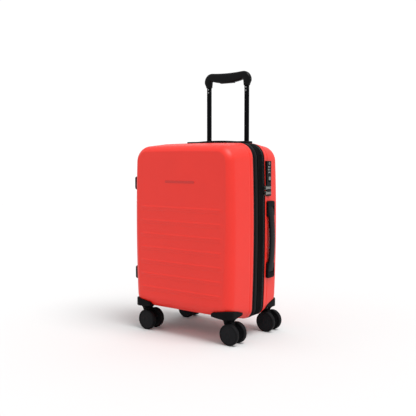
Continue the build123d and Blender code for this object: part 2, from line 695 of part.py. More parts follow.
def make_slider(z):
    """Zip slider with a pin that carries its pull."""
    body = box_between(SLIDER_X, SLIDER_Y, (z - SLIDER_HALF, z + SLIDER_HALF))
    body = fillet(body.edges().filter_by(Axis.X), 2.0)
    lug_x = (SLIDER_X[1] - 0.6, PULL_AXIS_X + 1.4)
    lug_y = (PULL_AXIS_Y - 1.6, PULL_AXIS_Y + 1.6)
    lugs = [box_between(lug_x, lug_y, (z + s - LUG_HALF, z + s + LUG_HALF)) for s in (-LUG_Z, LUG_Z)]
    return body + lugs + post(PULL_AXIS_X, PULL_AXIS_Y, PIVOT_R, z - 4.0, z + 4.0)


def make_pull(z):
    """Flat zip pull that reaches over to the lock."""
    pull_z = (z - PULL_HALF, z + PULL_HALF)
    eye = post(PULL_AXIS_X, PULL_AXIS_Y, 2.2, *pull_z)
    tongue_x = (PULL_AXIS_X - PULL_HALF_T, PULL_AXIS_X + PULL_HALF_T)
    tongue = box_between(tongue_x, (PULL_AXIS_Y, PULL_AXIS_Y + PULL_LENGTH), pull_z)
    hole_y = (PULL_AXIS_Y + PULL_LENGTH - 7, PULL_AXIS_Y + PULL_LENGTH - 3)
    hole = box_between((170, 200), hole_y, (z - 1.2, z + 1.2))
    return eye + tongue - hole - post(PULL_AXIS_X, PULL_AXIS_Y, PIVOT_R + RUNNING, z - 5, z + 5)


# ---- small parts on the shells ---------------------------------------------------------------
def make_feet(back):
    """Pair of side feet that the case stands on when laid on its left side."""
    y = FOOT_Y if back else -FOOT_Y
    shell = back_outer if back else front_outer
    feet = []
    for z in FOOT_Z:
        root = Plane(origin=(-FOOT_ROOT_X, y, z), x_dir=(0, 1, 0), z_dir=(-1, 0, 0))
        base = root * RectangleRounded(FOOT_LENGTH + FOOT_FLARE[0], FOOT_HEIGHT + FOOT_FLARE[1], 8)
        end = Plane(origin=(-OUTER_REACH, y, z), x_dir=(0, 1, 0), z_dir=(-1, 0, 0))
        crown = end * RectangleRounded(FOOT_LENGTH, FOOT_HEIGHT, 6)
        foot = loft([base, crown], ruled=True) - shell
        feet.append(max(foot.solids(), key=lambda s: s.volume))
    return feet


def make_badge():
    """Plain blank bar on the front panel."""
    slope = PANEL_SINK_TOP / (PANEL_TOP_Z - PANEL_FOOT_Z)
    face = -FACE_Y + slope * (sum(BADGE_Z) / 2 - PANEL_FOOT_Z)
    bar = box_between((-BADGE_HALF, BADGE_HALF), (face - 0.6, face + 1.0), BADGE_Z)
    return fillet(bar.edges().filter_by(Axis.Y), 3.0) & beyond_panel(0.0)


def make_straps():
    """Two packing straps laid flat inside the back half, meeting at the buckle."""
    straps = []
    for side in (-1, 1):
        outer_x = side * STRAP_X[0]
        inner_x = side * STRAP_X[1]
        for wall_z, buckle_z in STRAP_ENDS:
            corners = [
                (outer_x, wall_z + STRAP_HALF[0]), (inner_x, buckle_z + STRAP_HALF[1]),
                (inner_x, buckle_z - STRAP_HALF[1]), (outer_x, wall_z - STRAP_HALF[0])]
            with BuildSketch(Plane.XZ) as flat:
                with BuildLine():
                    Polyline(*corners, close=True)
                make_face()
            straps.append(Pos(0, STRAP_Y, 0) * extrude(flat.sketch, amount=STRAP_HALF_T, both=True))
    return straps


def make_buckle():
    """Side-release buckle between the straps."""
    buckle = box_between((-STRAP_X[1], STRAP_X[1]), BUCKLE_Y, BUCKLE_Z)
    return fillet(buckle.edges().filter_by(Axis.Y), 5.0)


def make_pocket():
    """Mesh pocket panel in the front half."""
    return box_between((-POCKET_HALF, POCKET_HALF), POCKET_Y, POCKET_Z)


# ---- write every node ------------------------------------------------------------------------
def write(name, shape):
    """One STEP file for one node."""
    solids = shape if isinstance(shape, list) else [shape]
    flat = [solid for item in solids for solid in item.solids()]
    export_step(flat[0] if len(flat) == 1 else Compound(children=flat), f"parts/{name}.step")
    print(name, len(flat), round(sum(s.volume for s in flat)))


def main():
    write("front_shell", make_front_shell())
    write("front_lining", make_lining(False))
    write("front_feet", make_feet(False))
    write("front_guards", make_guards(False))
    write("blank_badge", make_badge())
    write("mesh_pocket", make_pocket())
    write("expander_zip_front", ring(FRONT_RIM_Y, EXPANDER_Y - ZIP_GAP / 2, 1.0, RING_INNER))

    write("expander_zip_back", ring(EXPANDER_Y + ZIP_GAP / 2, STRIP_Y[0], 1.0, RING_INNER))
    write("grey_strip", make_grey_strip())
    write("fabric_band", make_band())
    write("expander_gusset", make_gusset())
    write("main_zip_front", ring(BAND_Y[1], MAIN_ZIP_Y - ZIP_GAP / 2, 1.0, RING_INNER))
    write("hinge_strip", make_hinge_strip())

    write("main_zip_back", ring(MAIN_ZIP_Y + ZIP_GAP / 2, BACK_RIM_Y, 0.6, RING_INNER))
    write("back_shell", make_back_shell())
    write("back_lining", make_lining(True))
    write("back_feet", make_feet(True))
    write("back_guards", make_guards(True))
    write("packing_straps", make_straps())
    write("strap_buckle", make_buckle())
    write("side_handle_ends", place(SIDE_HANDLE, handle_ends()))
    write("top_handle_ends", place(TOP_HANDLE, handle_ends()))
    write("side_handle_grip", place(SIDE_HANDLE, [carry_grip()]))
    write("top_handle_grip", place(TOP_HANDLE, [carry_grip()]))

    write("handle_bezel", make_bezel())
    write("fixed_tubes", tube_pair(FIXED_TUBE, TUBE_FOOT_Z, FIXED_TUBE_TOP))
    write("mid_tubes", tube_pair(MID_TUBE, MID_TUBE_FOOT, FIXED_TUBE_TOP + 1))
    write("top_tubes", make_top_tubes())
    write("tube_base", make_tube_base())
    write("tube_cover", make_tube_cover())
    write("handle_grip", make_grip())
    write("release_button", make_button())
    write("tube_pins", make_tube_pins())

    write("lock_housing", make_lock())
    write("lock_slide", make_lock_slide())
    write("key_cylinder", make_key_cylinder())
    for index in range(3):
        write(f"lock_dial_{index + 1}", make_dial(index))
    write("zip_sliders", [make_slider(z) for z in PULL_Z])
    for index, z in enumerate(PULL_Z):
        write(f"zip_pull_{index + 1}", make_pull(z))

    for half, back in (("front", False), ("back", True)):
        for side_name, (x, y) in zip(("left", "right"), caster_places(back)):
            corner = f"{half}_{side_name}"
            write(f"fork_{corner}", make_fork(x, y))
            write(f"axle_{corner}", make_axle(x, y))
            write(f"wheel_{corner}_a", make_wheel(x, y, -1))
            write(f"wheel_{corner}_b", make_wheel(x, y, 1))


main()
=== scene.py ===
from math import atan2, cos, hypot, pi, radians, sin, sqrt, tau

import bmesh
import bpy
import numpy as np
from mathutils import Matrix, Vector


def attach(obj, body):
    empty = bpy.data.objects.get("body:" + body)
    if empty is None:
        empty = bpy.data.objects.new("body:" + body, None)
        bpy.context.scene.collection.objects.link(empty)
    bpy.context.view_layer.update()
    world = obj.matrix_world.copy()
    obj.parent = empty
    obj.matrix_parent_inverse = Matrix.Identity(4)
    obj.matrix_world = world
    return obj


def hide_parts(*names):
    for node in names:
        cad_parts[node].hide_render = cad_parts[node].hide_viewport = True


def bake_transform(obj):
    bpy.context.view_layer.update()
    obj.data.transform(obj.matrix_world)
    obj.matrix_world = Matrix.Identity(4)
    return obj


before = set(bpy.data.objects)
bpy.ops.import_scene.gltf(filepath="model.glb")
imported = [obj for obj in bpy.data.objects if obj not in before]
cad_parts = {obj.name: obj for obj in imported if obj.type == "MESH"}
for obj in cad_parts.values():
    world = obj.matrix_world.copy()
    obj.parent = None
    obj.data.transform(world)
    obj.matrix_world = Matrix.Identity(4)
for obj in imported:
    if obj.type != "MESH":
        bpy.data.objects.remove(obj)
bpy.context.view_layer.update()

bl_info = {
    "name": "Hard shell suitcase",
    "version": (1, 0, 0),
    "blender": (4, 5, 0),
    "location": "3D View > Sidebar > Suitcase",
    "description": "Builds the surfaces of a cabin-size hard shell suitcase around its fixed frame",
    "category": "Add Mesh",
}

MM = 0.001

# ---- shape of the case, millimetres ----------------------------------------------------------
HALF_WIDTH = 179.0        # middle of the side at the rim
CASE_TOP = 545.0          # highest point of the rim
CASE_LOW = 54.0           # lowest point of the rim
SIDE_CROWN = 6.0          # how far the sides bow out over their height
TOP_CROWN = 2.5
CORNER_R_HIGH = 44.0      # rim corners, seen from the front
CORNER_R_LOW = 32.0
FACE_Y = 124.0            # front and back faces, before their raised ribs
FRONT_RIM_Y = -20.0
BACK_RIM_Y = 40.0
TAPER_SIDE = 5.0          # how much each shell draws in from its rim to its face
TAPER_TOP = 10.0
TAPER_LOW = 23.0
EDGE_R = 26.0             # rounding between a shell's face and its walls
WALL = 2.5
LINING_DEPTH = 2.9        # the lining's outer side, below the shell's outer surface
LINING_T = 0.8
PANEL_SINK_TOP = 2.7      # the front panel is sunk this deep at its top edge, and nothing at its foot
PANEL_TOP_Z = 517.0
PANEL_FOOT_Z = 100.0
RIB_COUNT = 7
RIB_TOP_Z = 367.7
RIB_PITCH = 38.7
RIB_HALF_LENGTH = 146.0
RIB_END = 12.0            # each rib fades out over this length
RIB_PROFILE = ((0.0, 0.0), (5.2, 1.8), (7.6, 0.85), (12.6, 0.8), (15.4, 0.0))   # drop from its top, height
GROOVE_NEAR = 11.0        # shallow groove round the rim, measured from the rim's edge
GROOVE_WIDTH = 6.0
GROOVE_DEPTH = 0.8

RING_INNER = 3.6          # the band's rings reach this far in from the rim outline
EXPANDER_Y = -16.5        # parting planes of the two zips
MAIN_ZIP_Y = 33.0
ZIP_HALF_GAP = 0.2
STRIP_Y = (-13.0, 1.0)    # grey moulded strip
BAND_Y = (1.0, 27.0)
PIPING_Y = 37.2
BAND_DITCH = ((0.9, RING_INNER), (0.9, 2.0), (2.4, 2.2), (4.2, 2.1), (4.9, 1.6), (5.2, 0.95), (5.7, 0.65))
DITCH_END_Y = 6.2
STITCH_ROWS_Y = (7.4, 25.2)
GUSSET_Y = (-11.0, -57.0)
GUSSET_DEPTH = 6.4
HINGE_Y = (21.0, 44.5)
HINGE_Z = (120.0, 480.0)

TUBE_X = 69.0
TUBE_Y = 109.0
TUBE_CORNER = 3.0
TOP_TUBE = (13.5, 10.5, 452.0, 717.0)      # width, depth, foot, top
MID_TUBE = (15.7, 12.7, 104.0, 519.0)
GRIP_BEND = (56.5, 732.3)                  # middle of the bend from the bridge into a socket
GRIP_BEND_R = 14.6
GRIP_SAG = 4.0
GRIP_DEEP = 10.0
SOCKET_DROP = 15.4
BUTTON_POCKET = (50.8, 9.8, 722.0, 740.0)
BEZEL_OPENING = (188.2, 29.8, 505.0, 570.0)
BEZEL_MID_Y = 108.8

HANDLE_HALF = 109.5       # carry handles, end to end
HANDLE_BLOCK = 45.0
HANDLE_DEPTH = 36.0
HANDLE_Y = 64.0
HANDLE_MID_Z = 271.5
BLOCK_CORNER_R = 6.0
BLOCK_PROUD = 6.5
SIDE_BOW = (12.1, 5.6, 2.6)                # rise of the grip, its thickness, how much its middle narrows
TOP_BOW = (9.6, 7.0, 1.0)
CARRY_HALF = 14.5
LEG = (12.0, 18.0)

CASTER_X = 147.0
CASTER_Y = 92.0
TRAIL = 14.0
WHEEL_R = 29.25
WHEEL_T = 13.5
WHEEL_INNER = 11.5
TYRE_EDGE_R = 3.4
DISC_R = 23.4
PLUG_R = 24.2
GUARD_LOW = 69.5
GUARD_HALF = (171.8, 125.8)                # outer faces, along X and Y
GUARD_EDGE_R = 24.0
GUARD_REACH = 64.0
GUARD_TOP = 93.0
GUARD_END_TOP = 82.5
GUARD_END_RISE = 4.5
SCREW_RING_R = 21.3
FOOT_Z = (428.4, 162.5)
FOOT_Y = 81.0
FOOT_ROOT_X = 172.8

LOCK_FACE_X = 182.0
LOCK_OPENING = ((150, 41.9, 394.9), (200, 66.1, 494.1))
DIAL_R = 7.0
DIAL_X = LOCK_FACE_X - DIAL_R + 1.6
DIAL_Y = 55.0
DIAL_MID_Z = 469.5
DIAL_PITCH = 7.6
SEGMENTS = {
    0: "abcdef", 1: "bc", 2: "abged", 3: "abgcd", 4: "fgbc", 5: "afgcd", 6: "afgedc", 7: "abc", 8: "abcdefg",
    9: "abcdfg"}
STROKES = {
    "a": ((-0.5, 1.0), (0.5, 1.0)), "b": ((0.5, 1.0), (0.5, 0.0)), "c": ((0.5, 0.0), (0.5, -1.0)),
    "d": ((0.5, -1.0), (-0.5, -1.0)), "e": ((-0.5, -1.0), (-0.5, 0.0)), "f": ((-0.5, 0.0), (-0.5, 1.0)),
    "g": ((-0.5, 0.0), (0.5, 0.0))}

POCKET_WIDTH = 272.0
POCKET_HEIGHT = 207.0
POCKET_FOOT = 119.5
POCKET_Y = -116.4
STRAP_X = (150.0, 20.0)                    # at the wall and at the buckle
STRAP_Z = ((380.0, 304.5), (220.0, 295.5))
STRAP_Y = 92.6

# ---- how finely the shells are divided -------------------------------------------------------
FOOT_STEPS = 30
LOW_STEPS = 12
HIGH_STEPS = 16
TOP_STEPS = 28
FINE_STEP = 0.95          # on the ribs
COARSE_STEP = 7.5         # between them
FACE_HALF = 132.0         # the evenly divided middle of a face
FACE_LOW = 104.0
FACE_HIGH = 505.0
STRIP_SHARES = (0.03, 0.12, 0.25, 0.4, 0.55, 0.7, 0.85, 1.0)
ROUND_SHARES = (0.08, 0.17, 0.26, 0.35, 0.44, 0.53, 0.62, 0.71, 0.8, 0.89, 0.96, 0.99, 1.0)

# ---- camera ----------------------------------------------------------------------------------
CAMERA_PLACE = (1.1641, -1.5456, 0.4991)   # metres
CAMERA_TURN = 36.81
CAMERA_DROP = 4.21
CAMERA_LENS = 57.48


# ---- colours ---------------------------------------------------------------------------------
def hex_linear(code):
    """Linear red, green and blue of an sRGB hex code."""
    parts = [int(code[i:i + 2], 16) / 255 for i in (0, 2, 4)]
    return tuple(c / 12.92 if c <= 0.04045 else ((c + 0.055) / 1.055) ** 2.4 for c in parts)


def opaque(colour):
    """Colour with a full alpha."""
    return (*colour[:3], 1.0)


def shade(colour, factor):
    """Lighter or darker version of a linear colour."""
    return tuple(min(1.0, c * factor) for c in colour[:3])


# ---- nodes -----------------------------------------------------------------------------------
def add_node(tree, kind, inputs=None, **settings):
    """Adds a node, sets its options, and fills or links its inputs."""
    node = tree.nodes.new(kind)
    for key, value in settings.items():
        setattr(node, key, value)
    for key, value in (inputs or {}).items():
        if isinstance(value, bpy.types.NodeSocket):
            tree.links.new(value, node.inputs[key])
        else:
            node.inputs[key].default_value = value
    return node


def new_material(name, **shader_inputs):
    """Material with one principled shader; returns it with its tree and shader."""
    material = bpy.data.materials.new(name)
    material.use_nodes = True
    tree = material.node_tree
    tree.nodes.clear()
    shader = add_node(tree, "ShaderNodeBsdfPrincipled", shader_inputs)
    add_node(tree, "ShaderNodeOutputMaterial", {"Surface": shader.outputs["BSDF"]})
    return material, tree, shader


def place_of(tree, stretch=(1, 1, 1)):
    """Position on the piece in metres, stretched along each axis."""
    coords = add_node(tree, "ShaderNodeTexCoord").outputs["Object"]
    return add_node(tree, "ShaderNodeMapping", {"Vector": coords, "Scale": stretch}).outputs["Vector"]


def grain(tree, size_mm, detail=2.0, stretch=(1, 1, 1)):
    """Noise whose lumps are size_mm across."""
    inputs = {
        "Vector": place_of(tree, stretch), "Scale": 1 / (size_mm * MM), "Detail": detail, "Roughness": 0.6}
    return add_node(tree, "ShaderNodeTexNoise", inputs).outputs["Fac"]


def between(tree, value, low, high):
    """Maps a 0 to 1 value onto low to high."""
    inputs = {"Value": value, "To Min": low, "To Max": high}
    return add_node(tree, "ShaderNodeMapRange", inputs).outputs["Result"]


def tint(tree, value, dark, light):
    """Blends two colours by a 0 to 1 value."""
    mix = add_node(tree, "ShaderNodeMix", {"Factor": value}, data_type="RGBA")
    mix.inputs[6].default_value = opaque(dark)
    mix.inputs[7].default_value = opaque(light)
    return mix.outputs[2]


def raise_bump(tree, shader, height, depth_mm, strength=1.0):
    """Feeds a height pattern into the shader's normal, over any bump it has."""
    inputs = {"Height": height, "Distance": depth_mm * MM, "Strength": strength}
    if shader.inputs["Normal"].links:
        inputs["Normal"] = shader.inputs["Normal"].links[0].from_socket
    bump = add_node(tree, "ShaderNodeBump", inputs)
    tree.links.new(bump.outputs["Normal"], shader.inputs["Normal"])


def weave_height(tree, thread_mm):
    """Even over-and-under pattern of threads, from 0 to 1, the same on any face."""
    turns = tau / (2 * thread_mm * MM)
    kind = "ShaderNodeVectorMath"
    scaled = add_node(tree, kind, {0: place_of(tree), 1: (turns, turns, turns)}, operation="MULTIPLY")
    waves = add_node(tree, kind, {0: scaled.outputs[0]}, operation="SINE")
    total = add_node(tree, kind, {0: waves.outputs[0], 1: (1, 1, 1)}, operation="DOT_PRODUCT")
    inputs = {"Value": total.outputs["Value"], "From Min": -2.2, "From Max": 2.2}
    return add_node(tree, "ShaderNodeMapRange", inputs).outputs["Result"]


def link_colour(tree, shader, colour):
    """Feeds a colour pattern to the shader."""
    tree.links.new(colour, shader.inputs["Base Color"])


def link_roughness(tree, shader, value):
    """Feeds a roughness pattern to the shader."""
    tree.links.new(value, shader.inputs["Roughness"])


# ---- materials -------------------------------------------------------------------------------
def moulded_polypropylene(name, colour):
    """Injection-moulded polypropylene with a fine spark-eroded satin.

    Gives broad soft highlights that break up slightly, and a faint cloudiness in the pigment.
    The real satin grain is about 0.15 mm; it is drawn at 0.9 mm so that it shows.
    """
    material, tree, shader = new_material(name, IOR=1.49, **{"Specular IOR Level": 0.5})
    cloud = grain(tree, 70.0, 3.0)
    link_colour(tree, shader, tint(tree, cloud, shade(colour, 0.955), shade(colour, 1.045)))
    link_roughness(tree, shader, between(tree, grain(tree, 9.0, 4.0), 0.40, 0.52))
    raise_bump(tree, shader, grain(tree, 0.9, 3.0), 0.035, 0.6)
    return material


def moulded_nylon(name, colour):
    """Glass-filled nylon moulded with a leather-like grain.

    Gives a dry black that greys a little where light grazes it.
    """
    material, tree, shader = new_material(name, IOR=1.53, **{"Specular IOR Level": 0.05})
    link_colour(tree, shader, tint(tree, grain(tree, 14.0, 4.0), shade(colour, 0.8), shade(colour, 1.3)))
    link_roughness(tree, shader, between(tree, grain(tree, 5.0, 4.0), 0.42, 0.6))
    cells = add_node(
        tree, "ShaderNodeTexVoronoi", {"Vector": place_of(tree), "Scale": 1 / (1.1 * MM)}).outputs["Distance"]
    raise_bump(tree, shader, cells, 0.05, 0.5)
    raise_bump(tree, shader, grain(tree, 0.6, 2.0), 0.03, 0.4)
    return material


def gloss_abs(name, colour):
    """ABS moulded in a polished tool: a tight highlight with faint orange peel."""
    material, tree, shader = new_material(name, IOR=1.54, **{"Specular IOR Level": 0.09})
    link_colour(tree, shader, tint(tree, grain(tree, 20.0), shade(colour, 0.9), shade(colour, 1.15)))
    link_roughness(tree, shader, between(tree, grain(tree, 6.0, 4.0), 0.22, 0.34))
    raise_bump(tree, shader, grain(tree, 2.4, 2.0), 0.02, 0.5)
    return material


def cast_polyurethane(name, colour):
    """Cast polyurethane tyre: a soft satin, paler and rougher where it is scuffed."""
    material, tree, shader = new_material(name, IOR=1.5, **{"Specular IOR Level": 0.08})
    scuff = grain(tree, 3.0, 6.0)
    link_colour(tree, shader, tint(tree, scuff, shade(colour, 0.75), shade(colour, 1.5)))
    link_roughness(tree, shader, between(tree, scuff, 0.45, 0.68))
    raise_bump(tree, shader, grain(tree, 1.2, 4.0), 0.05, 0.5)
    return material


def anodised_aluminium(name, colour):
    """Drawn aluminium tube, satin anodised black: long highlights with faint lines along the tube."""
    material, tree, shader = new_material(name, Metallic=1.0, Anisotropic=0.45)
    lines = grain(tree, 0.5, 3.0, (1.0, 1.0, 0.012))
    link_colour(tree, shader, tint(tree, lines, shade(colour, 0.8), shade(colour, 1.25)))
    link_roughness(tree, shader, between(tree, lines, 0.28, 0.42))
    raise_bump(tree, shader, lines, 0.012, 0.4)
    return material


def plated_zinc(name, colour):
    """Die-cast zinc with a satin gunmetal plating, rubbed brighter on its high spots."""
    material, tree, shader = new_material(name, Metallic=1.0)
    rub = grain(tree, 2.5, 5.0)
    link_colour(tree, shader, tint(tree, rub, shade(colour, 0.7), shade(colour, 1.2)))
    link_roughness(tree, shader, between(tree, rub, 0.2, 0.38))
    raise_bump(tree, shader, grain(tree, 0.8, 3.0), 0.02, 0.4)
    return material


def turned_steel(name, colour):
    """Turned steel pin: bright, with fine rings round its axis."""
    material, tree, shader = new_material(name, Metallic=1.0)
    rings = grain(tree, 0.4, 2.0, (0.02, 1.0, 0.02))
    link_colour(tree, shader, tint(tree, rings, shade(colour, 0.85), shade(colour, 1.1)))
    link_roughness(tree, shader, between(tree, rings, 0.22, 0.36))
    raise_bump(tree, shader, rings, 0.01, 0.4)
    return material


def woven_polyester(name, colour, thread_mm, depth_mm, sheen=0.008):
    """Woven polyester: matt, with a thread pattern and a soft bloom at grazing angles.

    Real threads are 0.3 to 0.5 mm; they are drawn coarser so that they show.
    """
    material, tree, shader = new_material(
        name, IOR=1.5, **{"Specular IOR Level": 0.04, "Sheen Weight": sheen, "Sheen Roughness": 0.5})
    threads = weave_height(tree, thread_mm)
    link_colour(tree, shader, tint(tree, threads, shade(colour, 0.55), shade(colour, 1.35)))
    link_roughness(tree, shader, between(tree, threads, 0.92, 0.72))
    raise_bump(tree, shader, threads, depth_mm, 0.9)
    raise_bump(tree, shader, grain(tree, 6.0, 4.0), 0.15, 0.3)
    return material


def knitted_mesh(name, colour):
    """Warp-knitted polyester mesh: a matt net with small openings 3 mm apart, each darkened with painted
    shade.
    """
    material, tree, shader = new_material(name, IOR=1.5, **{"Specular IOR Level": 0.25, "Sheen Weight": 0.2})
    cells = add_node(
        tree, "ShaderNodeTexVoronoi", {"Vector": place_of(tree), "Scale": 1 / (3.0 * MM), "Randomness": 0.15}
    ).outputs["Distance"]
    openings_with_painted_shade = add_node(
        tree, "ShaderNodeMapRange", {"Value": cells, "From Min": 0.22, "From Max": 0.42}).outputs["Result"]
    # painted shade: each opening is drawn at a quarter of the net's colour, as the shade seen through it
    link_colour(tree, shader, tint(tree, openings_with_painted_shade, shade(colour, 0.25), shade(colour, 1.4)))
    link_roughness(tree, shader, between(tree, openings_with_painted_shade, 1.0, 0.75))
    raise_bump(tree, shader, openings_with_painted_shade, 0.3, 0.8)
    return material


def nylon_coil(name, colour):
    """Monofilament zip coil: smooth nylon with a small bright glint on each turn."""
    material, tree, shader = new_material(name, IOR=1.53)
    turn = grain(tree, 2.2, 2.0)
    link_colour(tree, shader, tint(tree, turn, shade(colour, 0.75), shade(colour, 1.4)))
    link_roughness(tree, shader, between(tree, turn, 0.3, 0.45))
    raise_bump(tree, shader, grain(tree, 0.5, 2.0), 0.01, 0.3)
    return material


def painted_floor(name, colour):
    """Matt painted board: a pale floor with a barely visible roller texture."""
    material, tree, shader = new_material(name, IOR=1.45, **{"Specular IOR Level": 0.1})
    roller = grain(tree, 4.0, 3.0)
    link_colour(tree, shader, tint(tree, grain(tree, 300.0), shade(colour, 0.99), colour))
    link_roughness(tree, shader, between(tree, roller, 0.85, 0.95))
    return material


MATERIALS = {}


def material(key):
    """The named finish, made on first use from the colours in the scene's settings."""
    if key not in MATERIALS:
        colours = bpy.context.scene.suitcase_colours
        recipes = {
            "shell": lambda: moulded_polypropylene("coral_polypropylene", colours.shell),
            "trim": lambda: moulded_nylon("black_glass_filled_nylon", colours.trim),
            "strip": lambda: moulded_nylon("graphite_moulded_strip", colours.strip),
            "gloss": lambda: gloss_abs("black_polished_abs", colours.gloss),
            "dial": lambda: gloss_abs("grey_polished_abs", colours.dial),
            "digit": lambda: gloss_abs("white_filled_digit", colours.digit),
            "tyre": lambda: cast_polyurethane("black_cast_polyurethane", colours.tyre),
            "disc": lambda: moulded_nylon("dark_nylon_wheel_disc", colours.disc),
            "tube": lambda: anodised_aluminium("black_anodised_aluminium", colours.tube),
            "zinc": lambda: plated_zinc("gunmetal_plated_zinc", colours.zinc),
            "steel": lambda: turned_steel("turned_steel", colours.steel),
            "band": lambda: woven_polyester("black_coated_weave", colours.band, 1.3, 0.25),
            "tape": lambda: woven_polyester("black_zip_tape", colours.tape, 0.9, 0.15),
            "stitch": lambda: woven_polyester("grey_stitching_thread", colours.stitch, 0.5, 0.1),
            "lining": lambda: woven_polyester("grey_lining_weave", colours.lining, 1.2, 0.15),
            "webbing": lambda: woven_polyester("black_webbing", colours.webbing, 1.6, 0.4),
            "mesh": lambda: knitted_mesh("black_knitted_mesh", colours.mesh),
            "coil": lambda: nylon_coil("black_nylon_coil", colours.coil),
            "badge": lambda: moulded_polypropylene("dark_coral_polypropylene", colours.badge),
            "gloss_trim": lambda: gloss_abs("black_moulded_abs", colours.gloss_trim),
            "floor": lambda: painted_floor("matt_white_floor", colours.floor),
        }
        MATERIALS[key] = recipes[key]()
    return MATERIALS[key]


# ---- meshes ----------------------------------------------------------------------------------
def finish_mesh(mesh, sharp_degrees):
    """Smooth shading, with edges kept crisp above an angle."""
    bm = bmesh.new()
    bm.from_mesh(mesh)
    bmesh.ops.remove_doubles(bm, verts=bm.verts, dist=1e-7)
    bmesh.ops.recalc_face_normals(bm, faces=bm.faces)
    bm.to_mesh(mesh)
    bm.free()
    mesh.polygons.foreach_set("use_smooth", [True] * len(mesh.polygons))
    mesh.set_sharp_from_angle(angle=radians(sharp_degrees))
    mesh.update()


def make_piece(name, parts, key, sharp_degrees=32.0):
    """One object from (vertices in millimetres, faces) parts."""
    vertices, faces = [], []
    for part_vertices, part_faces in parts:
        base = len(vertices)
        vertices.extend([tuple(c * MM for c in v) for v in part_vertices])
        faces.extend([tuple(i + base for i in face) for face in part_faces])
    mesh = bpy.data.meshes.new(name)
    mesh.from_pydata(vertices, [], faces)
    finish_mesh(mesh, sharp_degrees)
    mesh.materials.append(material(key))
    piece = bpy.data.objects.new(name, mesh)
    bpy.context.scene.collection.objects.link(piece)
    return piece


def fit_piece(piece, body, slot, *nodes):
    """Puts a piece on its body, in place of the nodes it stands for."""
    if nodes:
        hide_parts(*nodes)
    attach(piece, body)
    return piece


def tube_of_rings(rings, closed_ends=True, looped=False):
    """Quads between rings of equal point count, each ring a closed loop."""
    count = len(rings[0])
    vertices = [tuple(p) for ring in rings for p in ring]
    faces = []
    spans = len(rings) if looped else len(rings) - 1
    for r in range(spans):
        a, b = r * count, ((r + 1) % len(rings)) * count
        for i in range(count):
            j = (i + 1) % count
            faces.append((a + i, a + j, b + j, b + i))
    if closed_ends and not looped:
        faces.append(tuple(reversed(range(count))))
        faces.append(tuple(range((len(rings) - 1) * count, len(rings) * count)))
    return vertices, faces


def moved(part, place):
    """A part after a 4x4 placement."""
    vertices, faces = part
    return [tuple(place @ Vector(v)) for v in vertices], faces


def lathe(profile, segments=64):
    """Solid of revolution about Z from (radius, height) points; the ends lie on the axis."""
    rings = [[(r * cos(tau * k / segments), r * sin(tau * k / segments), h) for k in range(segments)]
             for r, h in profile if r > 1e-6]
    return tube_of_rings(rings)


def rounded_rectangle(width, depth, corner, steps=6):
    """Points round a rectangle with rounded corners, anticlockwise."""
    points = []
    for quarter, (sx, sy) in enumerate(((1, 1), (-1, 1), (-1, -1), (1, -1))):
        cx, cy = sx * (width / 2 - corner), sy * (depth / 2 - corner)
        for k in range(steps + 1):
            angle = (quarter + k / steps) * pi / 2
            points.append((cx + corner * cos(angle), cy + corner * sin(angle)))
    return points


def quarter_round(steps):
    """Shares of a radius round a quarter turn: how far still to go one way, how far gone the other."""
    angles = [pi / 2 * k / steps for k in range(steps + 1)]
    return [(1 - sin(angle), 1 - cos(angle)) for angle in angles]


def soft_block(width, depth, low, high, corner, top_r, foot_r=0.3, steps=4):
    """Upright block with rounded corners and rounded top and foot edges."""
    levels = [(low + foot_r * rise, foot_r * fall) for fall, rise in quarter_round(steps)]
    levels += [(high - top_r * fall, top_r * rise) for fall, rise in quarter_round(steps)]
    rings = []
    for z, inset in levels:
        flat = rounded_rectangle(width - 2 * inset, depth - 2 * inset, max(corner - inset, 0.15))
        rings.append([(x, y, z) for x, y in flat])
    return tube_of_rings(rings)


def box_part(low, high):
    """Plain box between two corners, for cutters."""
    (x0, y0, z0), (x1, y1, z1) = low, high
    vertices = [(x, y, z) for z in (z0, z1) for y in (y0, y1) for x in (x0, x1)]
    faces = [(0, 2, 3, 1), (4, 5, 7, 6), (0, 1, 5, 4), (2, 6, 7, 3), (0, 4, 6, 2), (1, 3, 7, 5)]
    return vertices, faces


def post_part(x, y, radius, low, high, segments=64):
    """Upright cylinder."""
    return moved(lathe([(radius, low), (radius, high)], segments), Matrix.Translation((x, y, 0)))


def apply_modifiers(piece):
    """Replaces a piece's mesh with its modified one."""
    graph = bpy.context.evaluated_depsgraph_get()
    mesh = bpy.data.meshes.new_from_object(piece.evaluated_get(graph))
    piece.modifiers.clear()
    piece.data = mesh


def take_out(piece, cutters):
    """Cuts closed objects out of a closed piece, and clears them away."""
    for cutter in cutters:
        step = piece.modifiers.new("cut", "BOOLEAN")
        step.object = cutter
        step.operation = "DIFFERENCE"
        step.solver = "MANIFOLD"
    apply_modifiers(piece)
    for cutter in cutters:
        bpy.data.objects.remove(cutter)


def cut(piece, parts):
    """Cuts closed parts out of a closed piece."""
    take_out(piece, [make_piece(f"cutter_{index}", [part], "trim") for index, part in enumerate(parts)])


# ---- outline of the case ---------------------------------------------------------------------
def circle_through(a, b, c):
    """Centre and radius of the circle through three points."""
    (ax, ay), (bx, by), (cx, cy) = a, b, c
    d = 2 * (ax * (by - cy) + bx * (cy - ay) + cx * (ay - by))
    aa, bb, cc = ax * ax + ay * ay, bx * bx + by * by, cx * cx + cy * cy
    ux = (aa * (by - cy) + bb * (cy - ay) + cc * (ay - by)) / d
    uy = (aa * (cx - bx) + bb * (ax - cx) + cc * (bx - ax)) / d
    return (ux, uy), hypot(ax - ux, ay - uy)


def circles_meet(a, ra, b, rb):
    """The meeting point of two circles that lies furthest up and to the right."""
    dx, dy = b[0] - a[0], b[1] - a[1]
    d = hypot(dx, dy)
    along = (ra * ra - rb * rb + d * d) / (2 * d)
    across = sqrt(ra * ra - along * along)
    points = [(a[0] + along * dx / d - s * across * dy / d, a[1] + along * dy / d + s * across * dx / d)
              for s in (-1, 1)]
    return max(points)


